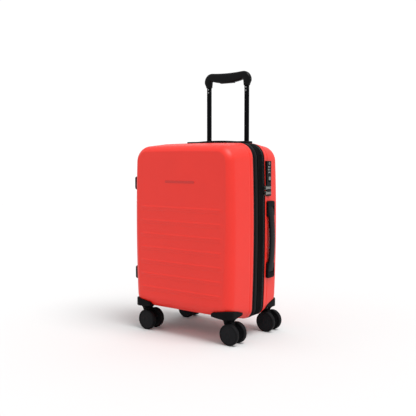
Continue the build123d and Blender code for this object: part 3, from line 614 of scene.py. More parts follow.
def rib_shares():
    """Places up a side as shares of its height, close together at each rib."""
    low = CASE_LOW + TAPER_LOW + CORNER_R_LOW
    high = CASE_TOP - TAPER_TOP - CORNER_R_HIGH
    heights = list(np.arange(low, high, COARSE_STEP))
    for index in range(RIB_COUNT):
        top = RIB_TOP_Z - RIB_PITCH * index
        heights = [z for z in heights if not top - 20.0 < z < top + 3.0]
        heights += list(np.arange(top - 19.0, top + 2.5, FINE_STEP))
    heights = sorted(z for z in heights if low <= z < high - 1.0)
    return [(z - low) / (high - low) for z in heights]


def even_shares(count=60):
    """Evenly spaced places up a side."""
    return [k / count for k in range(count)]


def outline(taper, shares):
    """Points (x, z) and inward normals round the case, from the middle of the foot, right side first."""
    half = HALF_WIDTH - TAPER_SIDE * taper
    top = CASE_TOP - TAPER_TOP * taper
    foot = CASE_LOW + TAPER_LOW * taper
    middle = (CASE_TOP + CASE_LOW) / 2
    corner_x, corner_z = half - SIDE_CROWN, top - TOP_CROWN
    side_c, side_r = circle_through((corner_x, foot), (half, middle), (corner_x, corner_z))
    top_c, top_r = circle_through((corner_x, corner_z), (0, top), (-corner_x, corner_z))
    high_c = circles_meet(side_c, side_r - CORNER_R_HIGH, top_c, top_r - CORNER_R_HIGH)
    low_z = foot + CORNER_R_LOW
    low_c = (side_c[0] + sqrt((side_r - CORNER_R_LOW) ** 2 - (low_z - side_c[1]) ** 2), low_z)
    low_angle = atan2(low_c[1] - side_c[1], low_c[0] - side_c[0])
    high_angle = atan2(high_c[1] - side_c[1], high_c[0] - side_c[0])
    top_angle = atan2(high_c[1] - top_c[1], high_c[0] - top_c[0])

    points = [(low_c[0] * k / FOOT_STEPS, foot) for k in range(FOOT_STEPS)]
    normals = [(0.0, 1.0)] * FOOT_STEPS

    def add_arc(centre, radius, angles):
        points.extend((centre[0] + radius * cos(a), centre[1] + radius * sin(a)) for a in angles)
        normals.extend((-cos(a), -sin(a)) for a in angles)

    def spread(first, last, shares_along):
        return [first + (last - first) * share for share in shares_along]

    add_arc(low_c, CORNER_R_LOW, spread(-pi / 2, low_angle, [k / LOW_STEPS for k in range(LOW_STEPS)]))
    add_arc(side_c, side_r, spread(low_angle, high_angle, shares))
    add_arc(high_c, CORNER_R_HIGH, spread(high_angle, top_angle, [k / HIGH_STEPS for k in range(HIGH_STEPS)]))
    add_arc(top_c, top_r, spread(top_angle, pi / 2, [k / TOP_STEPS for k in range(TOP_STEPS + 1)]))
    right, right_n = np.array(points), np.array(normals)
    left, left_n = right[1:-1][::-1] * (-1, 1), right_n[1:-1][::-1] * (-1, 1)
    return np.vstack([right, left]), np.vstack([right_n, left_n])


def side_x(z, depth_share=0.0):
    """Half width of the case at height z."""
    half = HALF_WIDTH - TAPER_SIDE * depth_share
    middle = (CASE_TOP + CASE_LOW) / 2
    return half - SIDE_CROWN * ((z - middle) / (CASE_TOP - middle)) ** 2


# ---- shells ----------------------------------------------------------------------------------
def panel_sink(z):
    """How deep the front panel lies behind the face at height z."""
    slope = PANEL_SINK_TOP / (PANEL_TOP_Z - PANEL_FOOT_Z)
    return np.clip(slope * (z - PANEL_FOOT_Z), 0.0, None)


def rib_height(x, z):
    """How far the ribs stand out at a point of a face."""
    proud = np.zeros_like(z)
    for index in range(RIB_COUNT):
        drop = RIB_TOP_Z - RIB_PITCH * index - z
        for (near, low), (far, high) in zip(RIB_PROFILE, RIB_PROFILE[1:]):
            share = np.clip((drop - near) / (far - near), 0, 1)
            inside = (drop > near) & (drop <= far)
            proud = np.where(inside, low + (high - low) * share * share * (3 - 2 * share), proud)
    end = np.clip((RIB_HALF_LENGTH - np.abs(x)) / RIB_END, 0, 1)
    return proud * end * end * (3 - 2 * end)


def shell_surface(back, ribbed=True):
    """Outer surface of one shell: rings from the rim to the face, then the face as a grid."""
    toward = 1 if back else -1
    rim = BACK_RIM_Y if back else -FRONT_RIM_Y
    shares = rib_shares()
    near_p, near_n = outline(0.0, shares)
    far_p, far_n = outline(1.0, shares)
    round_start = FACE_Y - EDGE_R

    def spot(depth, inset):
        share = ((depth - rim) / (FACE_Y - rim))[:, None]
        flat = near_p * (1 - share) + far_p * share + inset[:, None] * (near_n * (1 - share) + far_n * share)
        return flat

    count = len(near_p)
    groove_near, groove_far = rim + GROOVE_NEAR, rim + GROOVE_NEAR + GROOVE_WIDTH
    stations = [(rim, 0.7), (rim + 0.25, 0.25), (rim + 0.8, 0.05), (rim + 3, 0), (groove_near - 0.5, 0),
                (groove_near, 0.1), (groove_near + 0.5, GROOVE_DEPTH - 0.1),
                (groove_near + 1.0, GROOVE_DEPTH),
                (groove_far - 1.0, GROOVE_DEPTH), (groove_far - 0.5, GROOVE_DEPTH - 0.1), (groove_far, 0.1),
                (groove_far + 0.5, 0)]
    stations += [(d, 0) for d in np.linspace(groove_far + 3, round_start, 7)]
    rings = []
    for depth, inset in stations:
        depths = np.full(count, float(depth))
        rings.append((spot(depths, np.full(count, float(inset))), depths))

    turn = np.full(count, pi / 2)
    for _ in range(8):
        depths = round_start + EDGE_R * np.sin(turn)
        crease = spot(depths, EDGE_R * (1 - np.cos(turn)))
        if not back:
            turn = np.arcsin(1 - panel_sink(crease[:, 1]) / EDGE_R)
    for share in ROUND_SHARES:
        angle = turn * share
        depths = round_start + EDGE_R * np.sin(angle)
        rings.append((spot(depths, EDGE_R * (1 - np.cos(angle))), depths))

    def face_depth(z):
        return np.full_like(z, FACE_Y) if back else FACE_Y - panel_sink(z)

    side_start = FOOT_STEPS + LOW_STEPS
    side_stop = side_start + len(shares)
    crease = rings[-1][0]
    half_low, half_high = LOW_STEPS // 2, HIGH_STEPS // 2
    low_z, high_z = crease[side_start, 1], crease[side_stop, 1]
    columns = FACE_HALF * np.arange(FOOT_STEPS + half_low + 1) / (FOOT_STEPS + half_low)
    rows = list(FACE_LOW + (low_z - FACE_LOW) * np.arange(1, half_low) / half_low)
    rows += list(crease[side_start:side_stop, 1])
    rows += list(high_z + (FACE_HIGH - high_z) * np.arange(0, half_high) / half_high)
    right = [(x, FACE_LOW) for x in columns] + [(FACE_HALF, z) for z in rows]
    right += [(x, FACE_HIGH) for x in columns[::-1]]
    right = np.array(right)
    frame_ring = np.vstack([right, right[1:-1][::-1] * (-1, 1)])
    for share in STRIP_SHARES:
        flat = crease * (1 - share) + frame_ring * share
        rings.append((flat, face_depth(flat[:, 1])))

    def raised(flat, depths):
        proud = rib_height(flat[:, 0], flat[:, 1]) * ribbed
        depths = depths + np.where(depths > FACE_Y - 9.0, proud, 0.0)
        return np.column_stack([flat[:, 0], toward * depths, flat[:, 1]])

    solid_rings = [raised(flat, depths) for flat, depths in rings]
    skin = tube_of_rings(solid_rings, closed_ends=False)
    grid_x = np.concatenate([-columns[:0:-1], columns])
    grid_z = np.array([FACE_LOW] + rows + [FACE_HIGH])
    mesh_x, mesh_z = np.meshgrid(grid_x, grid_z)
    flat = np.column_stack([mesh_x.ravel(), mesh_z.ravel()])
    wide = len(grid_x)
    faces = [(r * wide + c, r * wide + c + 1, (r + 1) * wide + c + 1, (r + 1) * wide + c)
             for r in range(len(grid_z) - 1) for c in range(wide - 1)]
    return [skin, (raised(flat, face_depth(flat[:, 1])), faces)], solid_rings[0]


def case_solid(back):
    """Closed block bounded by a shell's outer surface, for cutting what fits round it."""
    parts, rim_ring = shell_surface(back)
    count = len(rim_ring)
    return parts + [(rim_ring, [tuple(range(count))])]


def flat_placement(origin, x_dir, z_dir):
    """Placement of a flat-drawn part: its X along x_dir and its Z along z_dir."""
    x_axis, z_axis = Vector(x_dir), Vector(z_dir)
    y_axis = z_axis.cross(x_axis)
    turn = Matrix((x_axis, y_axis, z_axis)).transposed().to_4x4()
    return Matrix.Translation(origin) @ turn


HANDLE_SHARE = (HANDLE_Y - BACK_RIM_Y) / (FACE_Y - BACK_RIM_Y)
SIDE_SPOT = (side_x(HANDLE_MID_Z, HANDLE_SHARE) + 1.0, HANDLE_Y, HANDLE_MID_Z)
TOP_SPOT = (0, HANDLE_Y, CASE_TOP - TAPER_TOP * HANDLE_SHARE + 2.4)
SIDE_HANDLE = flat_placement(SIDE_SPOT, (0, 0, 1), (1, 0, 0))
TOP_HANDLE = flat_placement(TOP_SPOT, (1, 0, 0), (0, 0, 1))


def block_offsets():
    """Middles of the two end blocks along a carry handle."""
    reach = HANDLE_HALF - HANDLE_BLOCK / 2
    return (-reach, reach)


def shell_openings(back, caster_r, caster_top):
    """Cutters for what passes through a shell or its lining."""
    toward = 1 if back else -1
    cutters = [post_part(s * CASTER_X, toward * CASTER_Y, caster_r, 30.0, caster_top, 96) for s in (-1, 1)]
    if back:
        bezel = soft_block(*BEZEL_OPENING, 5.1, 0.1)
        cutters.append(moved(bezel, Matrix.Translation((0, BEZEL_MID_Y, 0))))
        cutters.append(box_part(*LOCK_OPENING))
        block = soft_block(HANDLE_BLOCK + 0.2, HANDLE_DEPTH + 0.2, -15.0, 25.0, BLOCK_CORNER_R + 0.1, 0.1)
        for plane in (SIDE_HANDLE, TOP_HANDLE):
            for offset in block_offsets():
                cutters.append(moved(block, plane @ Matrix.Translation((offset, 0, 0))))
    return cutters


def thicken(piece, thickness, offset):
    """Gives an open surface a wall."""
    wall = piece.modifiers.new("wall", "SOLIDIFY")
    wall.thickness = thickness * MM
    wall.offset = offset
    apply_modifiers(piece)


def make_shell(name, back):
    """One shell with its wall thickness, its openings and its finish."""
    parts, _ = shell_surface(back)
    piece = make_piece(name, parts, "shell")
    thicken(piece, WALL, -1.0)
    cut(piece, shell_openings(back, PLUG_R, 78.0))
    finish_mesh(piece.data, 34.0)
    return piece


def make_lining(name, back):
    """Cloth lining that follows the inside of a shell, with a slight slackness between its glued lines."""
    parts, _ = shell_surface(back, ribbed=False)
    piece = make_piece(name, parts, "lining")
    mesh = piece.data
    count = len(mesh.vertices)
    places, outward = np.zeros(count * 3), np.zeros(count * 3)
    mesh.vertices.foreach_get("co", places)
    mesh.vertices.foreach_get("normal", outward)
    places, outward = places.reshape(-1, 3), outward.reshape(-1, 3)
    slack = 0.35 * (1 + np.sin(places[:, 0] / 0.021) * np.sin(places[:, 2] / 0.034))
    rim = (BACK_RIM_Y if back else -FRONT_RIM_Y) * MM
    slack *= np.clip((np.abs(places[:, 1]) - rim) / 0.02, 0, 1)
    places -= outward * ((LINING_DEPTH + slack) * MM)[:, None]
    mesh.vertices.foreach_set("co", places.ravel())
    thicken(piece, LINING_T, -1.0)
    cut(piece, shell_openings(back, 12.4, 120.0))
    finish_mesh(piece.data, 50.0)
    return piece


# ---- band between the shells -----------------------------------------------------------------
def swept_round(section):
    """A closed section of (y, inset) points carried round the rim outline."""
    points, normals = outline(0.0, even_shares())
    rings = []
    for (x, z), (nx, nz) in zip(points, normals):
        rings.append([(x + inset * nx, y, z + inset * nz) for y, inset in section])
    return tube_of_rings(rings, looped=True)


def places_round(pitch, inset):
    """Evenly spaced places round the rim: point, direction along it, and inward normal."""
    points, normals = outline(0.0, even_shares(240))
    loop = points + inset * normals
    closed = np.vstack([loop, loop[:1]])
    closed_n = np.vstack([normals, normals[:1]])
    run = np.concatenate([[0.0], np.cumsum(np.hypot(*np.diff(closed, axis=0).T))])
    count = int(run[-1] / pitch)
    at = np.arange(count) * run[-1] / count
    spots = np.column_stack([np.interp(at, run, closed[:, k]) for k in (0, 1)])
    inward = np.column_stack([np.interp(at, run, closed_n[:, k]) for k in (0, 1)])
    inward /= np.hypot(inward[:, 0], inward[:, 1])[:, None]
    along = np.column_stack([-inward[:, 1], inward[:, 0]])
    return spots, along, inward


def bits_round(pitch, inset, length, y_from, y_to, height, taper=0.6, shift=0.0):
    """Small tapered blocks repeated round the rim, such as zip teeth and stitches."""
    spots, along, inward = places_round(pitch, inset)
    parts_v, parts_f = [], []
    middle, half_y = (y_from + y_to) / 2, (y_to - y_from) / 2
    levels = ((0.0, 1.0), (0.65, 1.0), (1.0, taper))
    for spot, direction, normal in zip(spots, along, inward):
        base = len(parts_v)
        for level, shrink in levels:
            for sx, sy in ((-1, -1), (1, -1), (1, 1), (-1, 1)):
                offset = direction * (sx * length / 2 * shrink + shift) - normal * height * level
                x, z = spot + offset
                parts_v.append((x, middle + sy * half_y * shrink, z))
        for ring in (0, 4):
            for k in range(4):
                a, b = base + ring + k, base + ring + (k + 1) % 4
                parts_f.append((a, b, b + 4, a + 4))
        parts_f.append(tuple(base + k for k in (3, 2, 1, 0)))
        parts_f.append(tuple(base + 8 + k for k in range(4)))
    return parts_v, parts_f


def rounded_section(y_from, y_to, outer, inner, edge, bulge=0.0, steps=5):
    """Closed (y, inset) section with rounded outer edges and a slightly crowned face."""
    corner = [(edge * rise, outer + edge * fall) for fall, rise in quarter_round(steps)]
    crown = []
    for share in (k / 8 for k in range(1, 8)):
        crown.append((y_from + edge + (y_to - y_from - 2 * edge) * share, outer - bulge * sin(pi * share)))
    near = [(y_from + run, depth) for run, depth in corner]
    far = [(y_to - run, depth) for run, depth in corner[::-1]]
    return [(y_from, inner), *near, *crown, *far, (y_to, inner)]


def zip_half(name, body, slot, node, tape_y, teeth_y, pitch, shift):
    """One half of a zip: woven tape with a row of coil teeth along its inner edge."""
    tape = make_piece(
        f"{name}_tape", [swept_round(rounded_section(*tape_y, 1.7, RING_INNER, 0.35, 0.1))], "tape")
    fit_piece(tape, body, "zip_tape", node)
    teeth = make_piece(
        f"{name}_teeth", [bits_round(pitch, 1.75, pitch * 0.52, *teeth_y, 0.85, 0.55, shift)], "coil")
    fit_piece(teeth, body, slot)


def make_zips(pitch):
    """Both halves of the main zip and of the expander zip."""
    low, high = EXPANDER_Y - ZIP_HALF_GAP, EXPANDER_Y + ZIP_HALF_GAP
    zip_half("expander_zip_front", "front_case", "zip_tape", "expander_zip_front",
             (FRONT_RIM_Y, low), (low - 1.3, low + 0.15), pitch, 0.0)
    zip_half("expander_zip_back", "zip_ring", "zip_tape", "expander_zip_back",
             (high, STRIP_Y[0] - 0.1), (high - 0.15, high + 1.3), pitch, pitch / 2)
    low, high = MAIN_ZIP_Y - ZIP_HALF_GAP, MAIN_ZIP_Y + ZIP_HALF_GAP
    zip_half("main_zip_front", "zip_ring", "zip_tape", "main_zip_front",
             (BAND_Y[1], low), (low - 1.5, low + 0.15), pitch, 0.0)
    zip_half("main_zip_back", "back_case", "zip_tape", "main_zip_back",
             (high, PIPING_Y), (high - 0.15, high + 1.5), pitch, pitch / 2)
    section = rounded_section(PIPING_Y, BACK_RIM_Y - 0.05, 0.5, RING_INNER, 0.9, 0.15)
    fit_piece(make_piece("rim_piping", [swept_round(section)], "strip"), "back_case", "grey_trim")


def make_band(stitch_length):
    """Grey moulded strip, fabric band and the band's two rows of stitches."""
    section = rounded_section(*STRIP_Y, -0.35, RING_INNER, 1.1, 0.25, 6)
    strip = make_piece("grey_moulded_strip", [swept_round(section)], "strip")
    fit_piece(strip, "zip_ring", "grey_trim", "grey_strip")
    section = rounded_section(*BAND_Y, 0.55, RING_INNER, 0.6, 0.12)
    section = list(BAND_DITCH) + [point for point in section if point[0] > DITCH_END_Y]
    band = make_piece("woven_band", [swept_round(section)], "band", 50.0)
    fit_piece(band, "zip_ring", "band_fabric", "fabric_band")
    pitch = stitch_length * 1.35
    rows = [bits_round(pitch, 0.62, stitch_length, y - 0.28, y + 0.28, 0.3, 0.5) for y in STITCH_ROWS_Y]
    stitches = make_piece("band_stitches", rows, "stitch")
    fit_piece(stitches, "zip_ring", "band_fabric")


def make_gusset():
    """Folded cloth that bridges the gap when the case is let out."""
    points, normals = outline(0.0, even_shares())
    far_taper = (FRONT_RIM_Y - GUSSET_Y[1]) / (FACE_Y + FRONT_RIM_Y)
    far, far_n = outline(far_taper, even_shares())
    count = len(points)
    wave = np.array([sin(7 * tau * k / count) + 0.6 * sin(17 * tau * k / count + 1.0) for k in range(count)])
    layers = []
    for share in np.linspace(0, 1, 14):
        y = GUSSET_Y[0] + (GUSSET_Y[1] - GUSSET_Y[0]) * share
        sag = GUSSET_DEPTH + 0.28 * wave * sin(pi * share) + 0.25 * sin(5 * pi * share)
        base = points * (1 - share) + far * share
        inward = normals * (1 - share) + far_n * share
        layers.append((y, base, inward, sag))
    outer, inner = [], []
    for y, base, inward, sag in layers:
        sag = np.broadcast_to(sag, (count,))
        for depth, target in ((sag, outer), (sag + 0.6, inner)):
            flat = base + depth[:, None] * inward
            target.append([(x, y, z) for x, z in flat])
    sewn = points + RING_INNER * normals
    seam, hem = ([(x, GUSSET_Y[0] + step, z) for x, z in sewn] for step in (0.4, 1.0))
    rings = [seam, *outer, *inner[::-1], hem]
    gusset = make_piece("folded_gusset", [tube_of_rings(rings, looped=True)], "lining", 60.0)
    fit_piece(gusset, "zip_ring", "lining_cloth", "expander_gusset")


def make_hinge():
    """Fabric hinge down the left side, sewn to the band and to the back shell."""
    rings = []
    rows, steps = 72, 18
    for k in range(rows + 1):
        z = HINGE_Z[0] + (HINGE_Z[1] - HINGE_Z[0]) * k / rows
        end = min(k, rows - k, 3) / 3
        ring = []
        for layer in (0, 1):
            for step in range(steps + 1):
                share = step / steps if layer == 0 else 1 - step / steps
                y = HINGE_Y[0] + (HINGE_Y[1] - HINGE_Y[0]) * share
                lift = 0.15 + 1.15 * sin(pi * share) ** 2
                thick = 0.75 * end + 0.05
                out = lift + (thick if layer == 0 else 0.0)
                ring.append((-(side_x(z) + out - 0.4 * (1 - share)), y, z))
        rings.append(ring)
    hinge = make_piece("fabric_hinge", [tube_of_rings(rings)], "band", 50.0)
    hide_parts("hinge_strip")
    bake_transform(hinge)


# ---- casters and guards ----------------------------------------------------------------------
def guard_block(side, toward):
    """Corner block before the shell is taken out of it: arched top edge, rounded lower edge."""
    inner_x, inner_y = HALF_WIDTH - TAPER_SIDE - GUARD_REACH, FACE_Y - GUARD_REACH
    cx, cy = GUARD_HALF[0] - GUARD_EDGE_R, GUARD_HALF[1] - GUARD_EDGE_R
    arc = GUARD_EDGE_R * pi / 2
    reach_x, reach_y = cx - inner_x, cy - inner_y
    steps = 14
    path = []
    for k in range(steps):
        run = (1 - k / steps) * reach_x + arc / 2
        path.append((inner_x + reach_x * k / steps, GUARD_HALF[1], 0.0, 1.0, run))
    for k in range(steps):
        angle = pi / 2 * (1 - k / steps)
        path.append((cx + GUARD_EDGE_R * cos(angle), cy + GUARD_EDGE_R * sin(angle), cos(angle), sin(angle),
                     abs(arc * k / steps - arc / 2)))
    for k in range(steps + 1):
        path.append((GUARD_HALF[0], cy - reach_y * k / steps, 1.0, 0.0, reach_y * k / steps + arc / 2))
    rings = []
    for x, y, nx, ny, run in path:
        share = min(1.0, run / (reach_x + arc / 2))
        top = GUARD_TOP - (GUARD_TOP - GUARD_END_TOP) * share ** 1.8
        end = min(1.0, (1 - share) / 0.03)
        shrink = 1.4 * (1 - sqrt(max(0.0, 1 - (1 - end) ** 2)))
        low = GUARD_LOW + GUARD_END_RISE * share ** 2
        ring = [(inner_x, inner_y, GUARD_LOW)]
        for inset, z in ((2.4, low), (1.1, low + 0.4), (0.3, low + 1.3), (0.0, low + 2.6),
                         (0.0, top - 2.0), (0.35, top - 0.8), (1.2, top)):
            ring.append((x - (inset + shrink) * nx, y - (inset + shrink) * ny, z))
        ring.append((inner_x, inner_y, GUARD_TOP + 4.0))
        rings.append([(px * side, py * toward, pz) for px, py, pz in ring])
    return tube_of_rings(rings)


def make_guards(name, back):
    """Pair of corner guards with the housings that the casters turn in."""
    toward = 1 if back else -1
    blocks = [guard_block(side, toward) for side in (-1, 1)]
    piece = make_piece(name, blocks, "trim")
    take_out(piece, [make_piece("case_cutter", case_solid(back), "trim")])
    housing = [
        (0.0, 97.0), (11.0, 97.0), (12.0, 96.0), (12.0, 74.5), (13.0, 73.5), (23.2, 73.5), (24.0, 72.8),
        (24.0, 70.2), (23.4, 69.7), (19.5, 69.5), (19.0, 69.8), (18.6, 69.8), (18.2, 69.5), (7.0, 69.5),
        (6.3, 69.8), (6.1, 70.4), (6.1, 72.0), (0.0, 72.0)]
    parts = [moved(lathe(housing[::-1], 72), Matrix.Translation((s * CASTER_X, toward * CASTER_Y, 0)))
             for s in (-1, 1)]
    head = [(0.0, 70.2), (1.6, 70.2), (1.75, 69.6), (1.6, 69.1), (1.1, 68.9), (0.7, 69.3), (0.0, 69.3)]
    screws = []
    for s in (-1, 1):
        for angle in (40, 140, 220, 320):
            x = s * CASTER_X + SCREW_RING_R * cos(radians(angle))
            y = toward * CASTER_Y + SCREW_RING_R * sin(radians(angle))
            screws.append(moved(lathe(head[::-1], 16), Matrix.Translation((x, y, 0))))
    housings = make_piece(f"{name}_caster_housings", parts, "trim", 40.0)
    heads = make_piece(f"{name}_screws", screws, "steel")
    body, node = ("back_case", "back_guards") if back else ("front_case", "front_guards")
    for extra in (housings, heads):
        fit_piece(extra, body, "black_plastic")
    finish_mesh(piece.data, 34.0)
    fit_piece(piece, body, "black_plastic", node)


def hull_outline(first, first_r, second, second_r, steps=28):
    """Outline round two circles and the straight tangents between them."""
    (ax, ay), (bx, by) = first, second
    heading = atan2(by - ay, bx - ax)
    lean = np.arcsin((first_r - second_r) / hypot(bx - ax, by - ay))
    points = []
    for centre, radius, start, stop in (
            (first, first_r, heading + pi / 2 - lean, heading + 3 * pi / 2 + lean),
            (second, second_r, heading - pi / 2 + lean, heading + pi / 2 - lean)):
        for k in range(steps + 1):
            angle = start + (stop - start) * k / steps
            points.append((centre[0] + radius * cos(angle), centre[1] + radius * sin(angle)))
    return points


def plate(flat, half, edge, dish, steps=5):
    """A flat outline given thickness along Y, with rounded edges; dish sinks the middle of both faces."""
    loop = np.array(flat)
    before, after = np.roll(loop, 1, axis=0), np.roll(loop, -1, axis=0)
    first, second = loop - before, after - loop
    first /= np.hypot(*first.T)[:, None]
    second /= np.hypot(*second.T)[:, None]
    mean = first + second
    mean /= np.hypot(*mean.T)[:, None]
    inward = np.column_stack([-mean[:, 1], mean[:, 0]])
    area = np.sum(loop[:, 0] * after[:, 1] - after[:, 0] * loop[:, 1])
    if area < 0:
        inward = -inward
    reach = 1 / np.clip(np.abs(first[:, 0] * mean[:, 0] + first[:, 1] * mean[:, 1]), 0.5, 1)
    one_side = [(edge * rise, half - edge * fall) for fall, rise in quarter_round(steps)]
    one_side += [(edge + 1.2, half - dish * 0.8), (edge + 1.8, half - dish)]
    levels = [(inset, -y) for inset, y in one_side[::-1]] + one_side
    rings = []
    for inset, y in levels:
        flat_ring = loop + (inset * reach)[:, None] * inward
        rings.append([(x, y, z) for x, z in flat_ring])
    return tube_of_rings(rings)


def caster_corners():
    """Name and swivel axis of each caster."""
    found = []
    for half, toward in (("front", -1), ("back", 1)):
        for hand, side in (("left", -1), ("right", 1)):
            found.append((f"{half}_{hand}", side * CASTER_X, toward * CASTER_Y))
    return found


def make_forks():
    """Swivel forks: a rounded cup under the housing and a web down to the axle."""
    cup = [(0.0, 59.6), (12.4, 59.6), (13.9, 60.0), (15.0, 60.9), (16.6, 62.8), (19.4, 66.8), (20.4, 68.3),
           (20.2, 68.9), (19.4, 69.1), (7.6, 69.1), (7.2, 69.6), (6.0, 69.8), (6.0, 71.5), (0.0, 71.5)]
    for corner, x, y in caster_corners():
        outline_flat = hull_outline((x, 61.0), 13.0, (x + TRAIL, WHEEL_R), 11.5)
        outline_flat = [(px, min(pz, 63.0)) for px, pz in outline_flat]
        web = moved(plate(outline_flat, 9.0, 2.2, 0.9), Matrix.Translation((0, y, 0)))
        parts = [web, moved(lathe(cup, 72), Matrix.Translation((x, y, 0)))]
        fork = make_piece(f"swivel_fork_{corner}", parts, "trim", 40.0)
        fit_piece(fork, f"caster_{corner}", "fork_plastic", f"fork_{corner}")


def wheel_profile():
    """Section of one wheel as (radius, distance from its inner face)."""
    inner = [(0.0, 0.0), (9.0, 0.0), (9.6, 0.5), (10.0, 1.6), (22.0, 1.8), (23.0, 0.8), (25.8, 0.0)]
    edge = TYRE_EDGE_R
    lower = [(WHEEL_R - edge + edge * sin(a), edge * (1 - cos(a))) for a in np.linspace(0.15, pi / 2, 7)]
    crown = [(WHEEL_R, WHEEL_T / 2)]
    upper = [(WHEEL_R - edge + edge * cos(a), WHEEL_T - edge * (1 - sin(a)))
             for a in np.linspace(0, pi / 2, 7)]
    face = [(24.4, WHEEL_T), (23.6, WHEEL_T - 0.25), (23.2, WHEEL_T - 0.9), (22.4, WHEEL_T - 1.35),
            (21.6, WHEEL_T - 1.25), (20.8, WHEEL_T - 1.1), (12.5, WHEEL_T - 1.55), (11.6, WHEEL_T - 1.5),
            (11.0, WHEEL_T - 1.0), (10.2, WHEEL_T - 0.75), (5.5, WHEEL_T - 0.7), (5.0, WHEEL_T - 0.85),
            (4.6, WHEEL_T - 1.3), (0.0, WHEEL_T - 1.3)]
    return inner + lower + crown + upper + face


def make_wheels():
    """Eight wheels: a cast tyre round a moulded disc with a raised hub."""
    for corner, x, y in caster_corners():
        for hand, side in (("a", -1), ("b", 1)):
            vertices, faces = lathe(wheel_profile(), 96)
            turned = [(vx, side * (WHEEL_INNER + vz), vy) for vx, vy, vz in vertices]
            part = ([(x + TRAIL + a, y + b, WHEEL_R + c) for a, b, c in turned], faces)
            wheel = make_piece(f"caster_wheel_{corner}_{hand}", [part], "tyre", 40.0)
            wheel.data.materials.append(material("disc"))
            middle = Vector(((x + TRAIL) * MM, 0, WHEEL_R * MM))
            for face in wheel.data.polygons:
                offset = face.center - middle
                if hypot(offset.x, offset.z) < DISC_R * MM:
                    face.material_index = 1
            fit_piece(wheel, f"roller_{corner}_{hand}", "wheel_rubber", f"wheel_{corner}_{hand}")


# ---- handles ---------------------------------------------------------------------------------
def grip_spine():
    """Right half of the grip's middle line: point, direction, half height and half depth."""
    spine = []
    for share in np.linspace(0, 1, 13):
        x = GRIP_BEND[0] * share
        slope = 2 * GRIP_SAG * x / GRIP_BEND[0] ** 2
        turn = atan2(slope, 1.0) * (1 - share ** 6)
        z = GRIP_BEND[1] + GRIP_BEND_R - (GRIP_SAG + 1.1) * (1 - share * share)
        spine.append((x, z, turn, 15.0 - 2.6 * share * share, GRIP_DEEP))
    for share in np.linspace(0, 1, 12)[1:]:
        angle = pi / 2 * (1 - share)
        x = GRIP_BEND[0] + GRIP_BEND_R * cos(angle)
        z = GRIP_BEND[1] + GRIP_BEND_R * sin(angle)
        spine.append((x, z, angle - pi / 2, 12.4 + 0.5 * sin(pi * share), GRIP_DEEP))
    foot_x, foot_z = GRIP_BEND[0] + GRIP_BEND_R, GRIP_BEND[1]
    for share in np.linspace(0, 1, 9)[1:]:
        ease = share * share * (3 - 2 * share)
        x = foot_x + (TUBE_X - foot_x) * ease
        spine.append((x, foot_z - SOCKET_DROP * share, -pi / 2, 12.4 - 3.2 * ease, GRIP_DEEP - 1.8 * ease))
    x, z, turn, _, _ = spine[-1]
    spine.append((x, z - 0.7, turn, 8.6, 7.6))
    return spine


def grip_part():
    """Grip with a soft oval section carried along its middle line."""
    half = grip_spine()
    full = [(-x, z, -turn, tall, deep) for x, z, turn, tall, deep in half[:0:-1]] + half
    rings = []
    for x, z, turn, tall, deep in full:
        ring = []
        for k in range(40):
            angle = tau * k / 40
            across = abs(cos(angle)) ** 0.72 * (1 if cos(angle) > 0 else -1) * tall
            depth = abs(sin(angle)) ** 0.72 * (1 if sin(angle) > 0 else -1) * deep
            ring.append((x - sin(turn) * across, TUBE_Y + depth, z + cos(turn) * across))
        rings.append(ring)
    return tube_of_rings(rings)


def make_grip():
    """Bridge grip of the telescopic handle, with the pocket for its release button."""
    grip = make_piece("telescopic_grip", [grip_part()], "gloss_trim", 60.0)
    pocket = moved(soft_block(*BUTTON_POCKET, 0.7, 0.2), Matrix.Translation((0, TUBE_Y, 0)))
    cut(grip, [pocket])
    finish_mesh(grip.data, 50.0)
    fit_piece(grip, "handle_top", "black_plastic", "handle_grip")


def tube_part(x, width, depth, low, high):
    """Solid length of rounded tube with a shallow flute down its front and back."""
    flat = rounded_rectangle(width, depth, TUBE_CORNER, 6)
    ring = []
    for (px, py), (qx, qy) in zip(flat, flat[1:] + flat[:1]):
        ring.append((px, py))
        if abs(py - qy) < 1e-6 and abs(px - qx) > width / 3:
            sign = 1 if py > 0 else -1
            for share, sink in ((0.18, 0), (0.3, 0.35), (0.5, 0.45), (0.7, 0.35), (0.82, 0)):
                ring.append((px + (qx - px) * share, py - sign * sink))
    rings = [[(x + px * s, TUBE_Y + py * s, z) for px, py in ring]
             for z, s in ((low, 0.97), (low + 0.4, 1.0), (high - 0.4, 1.0), (high, 0.97))]
    return tube_of_rings(rings)


def make_tubes():
    """Top and middle stages of the telescopic handle."""
    for name, size, body, node in (
            ("top_stage_tubes", TOP_TUBE, "handle_top", "top_tubes"),
            ("middle_stage_tubes", MID_TUBE, "handle_mid", "mid_tubes")):
        pair = [tube_part(s * TUBE_X, *size) for s in (-1, 1)]
        fit_piece(make_piece(name, pair, "tube", 40.0), body, "black_tube", node)


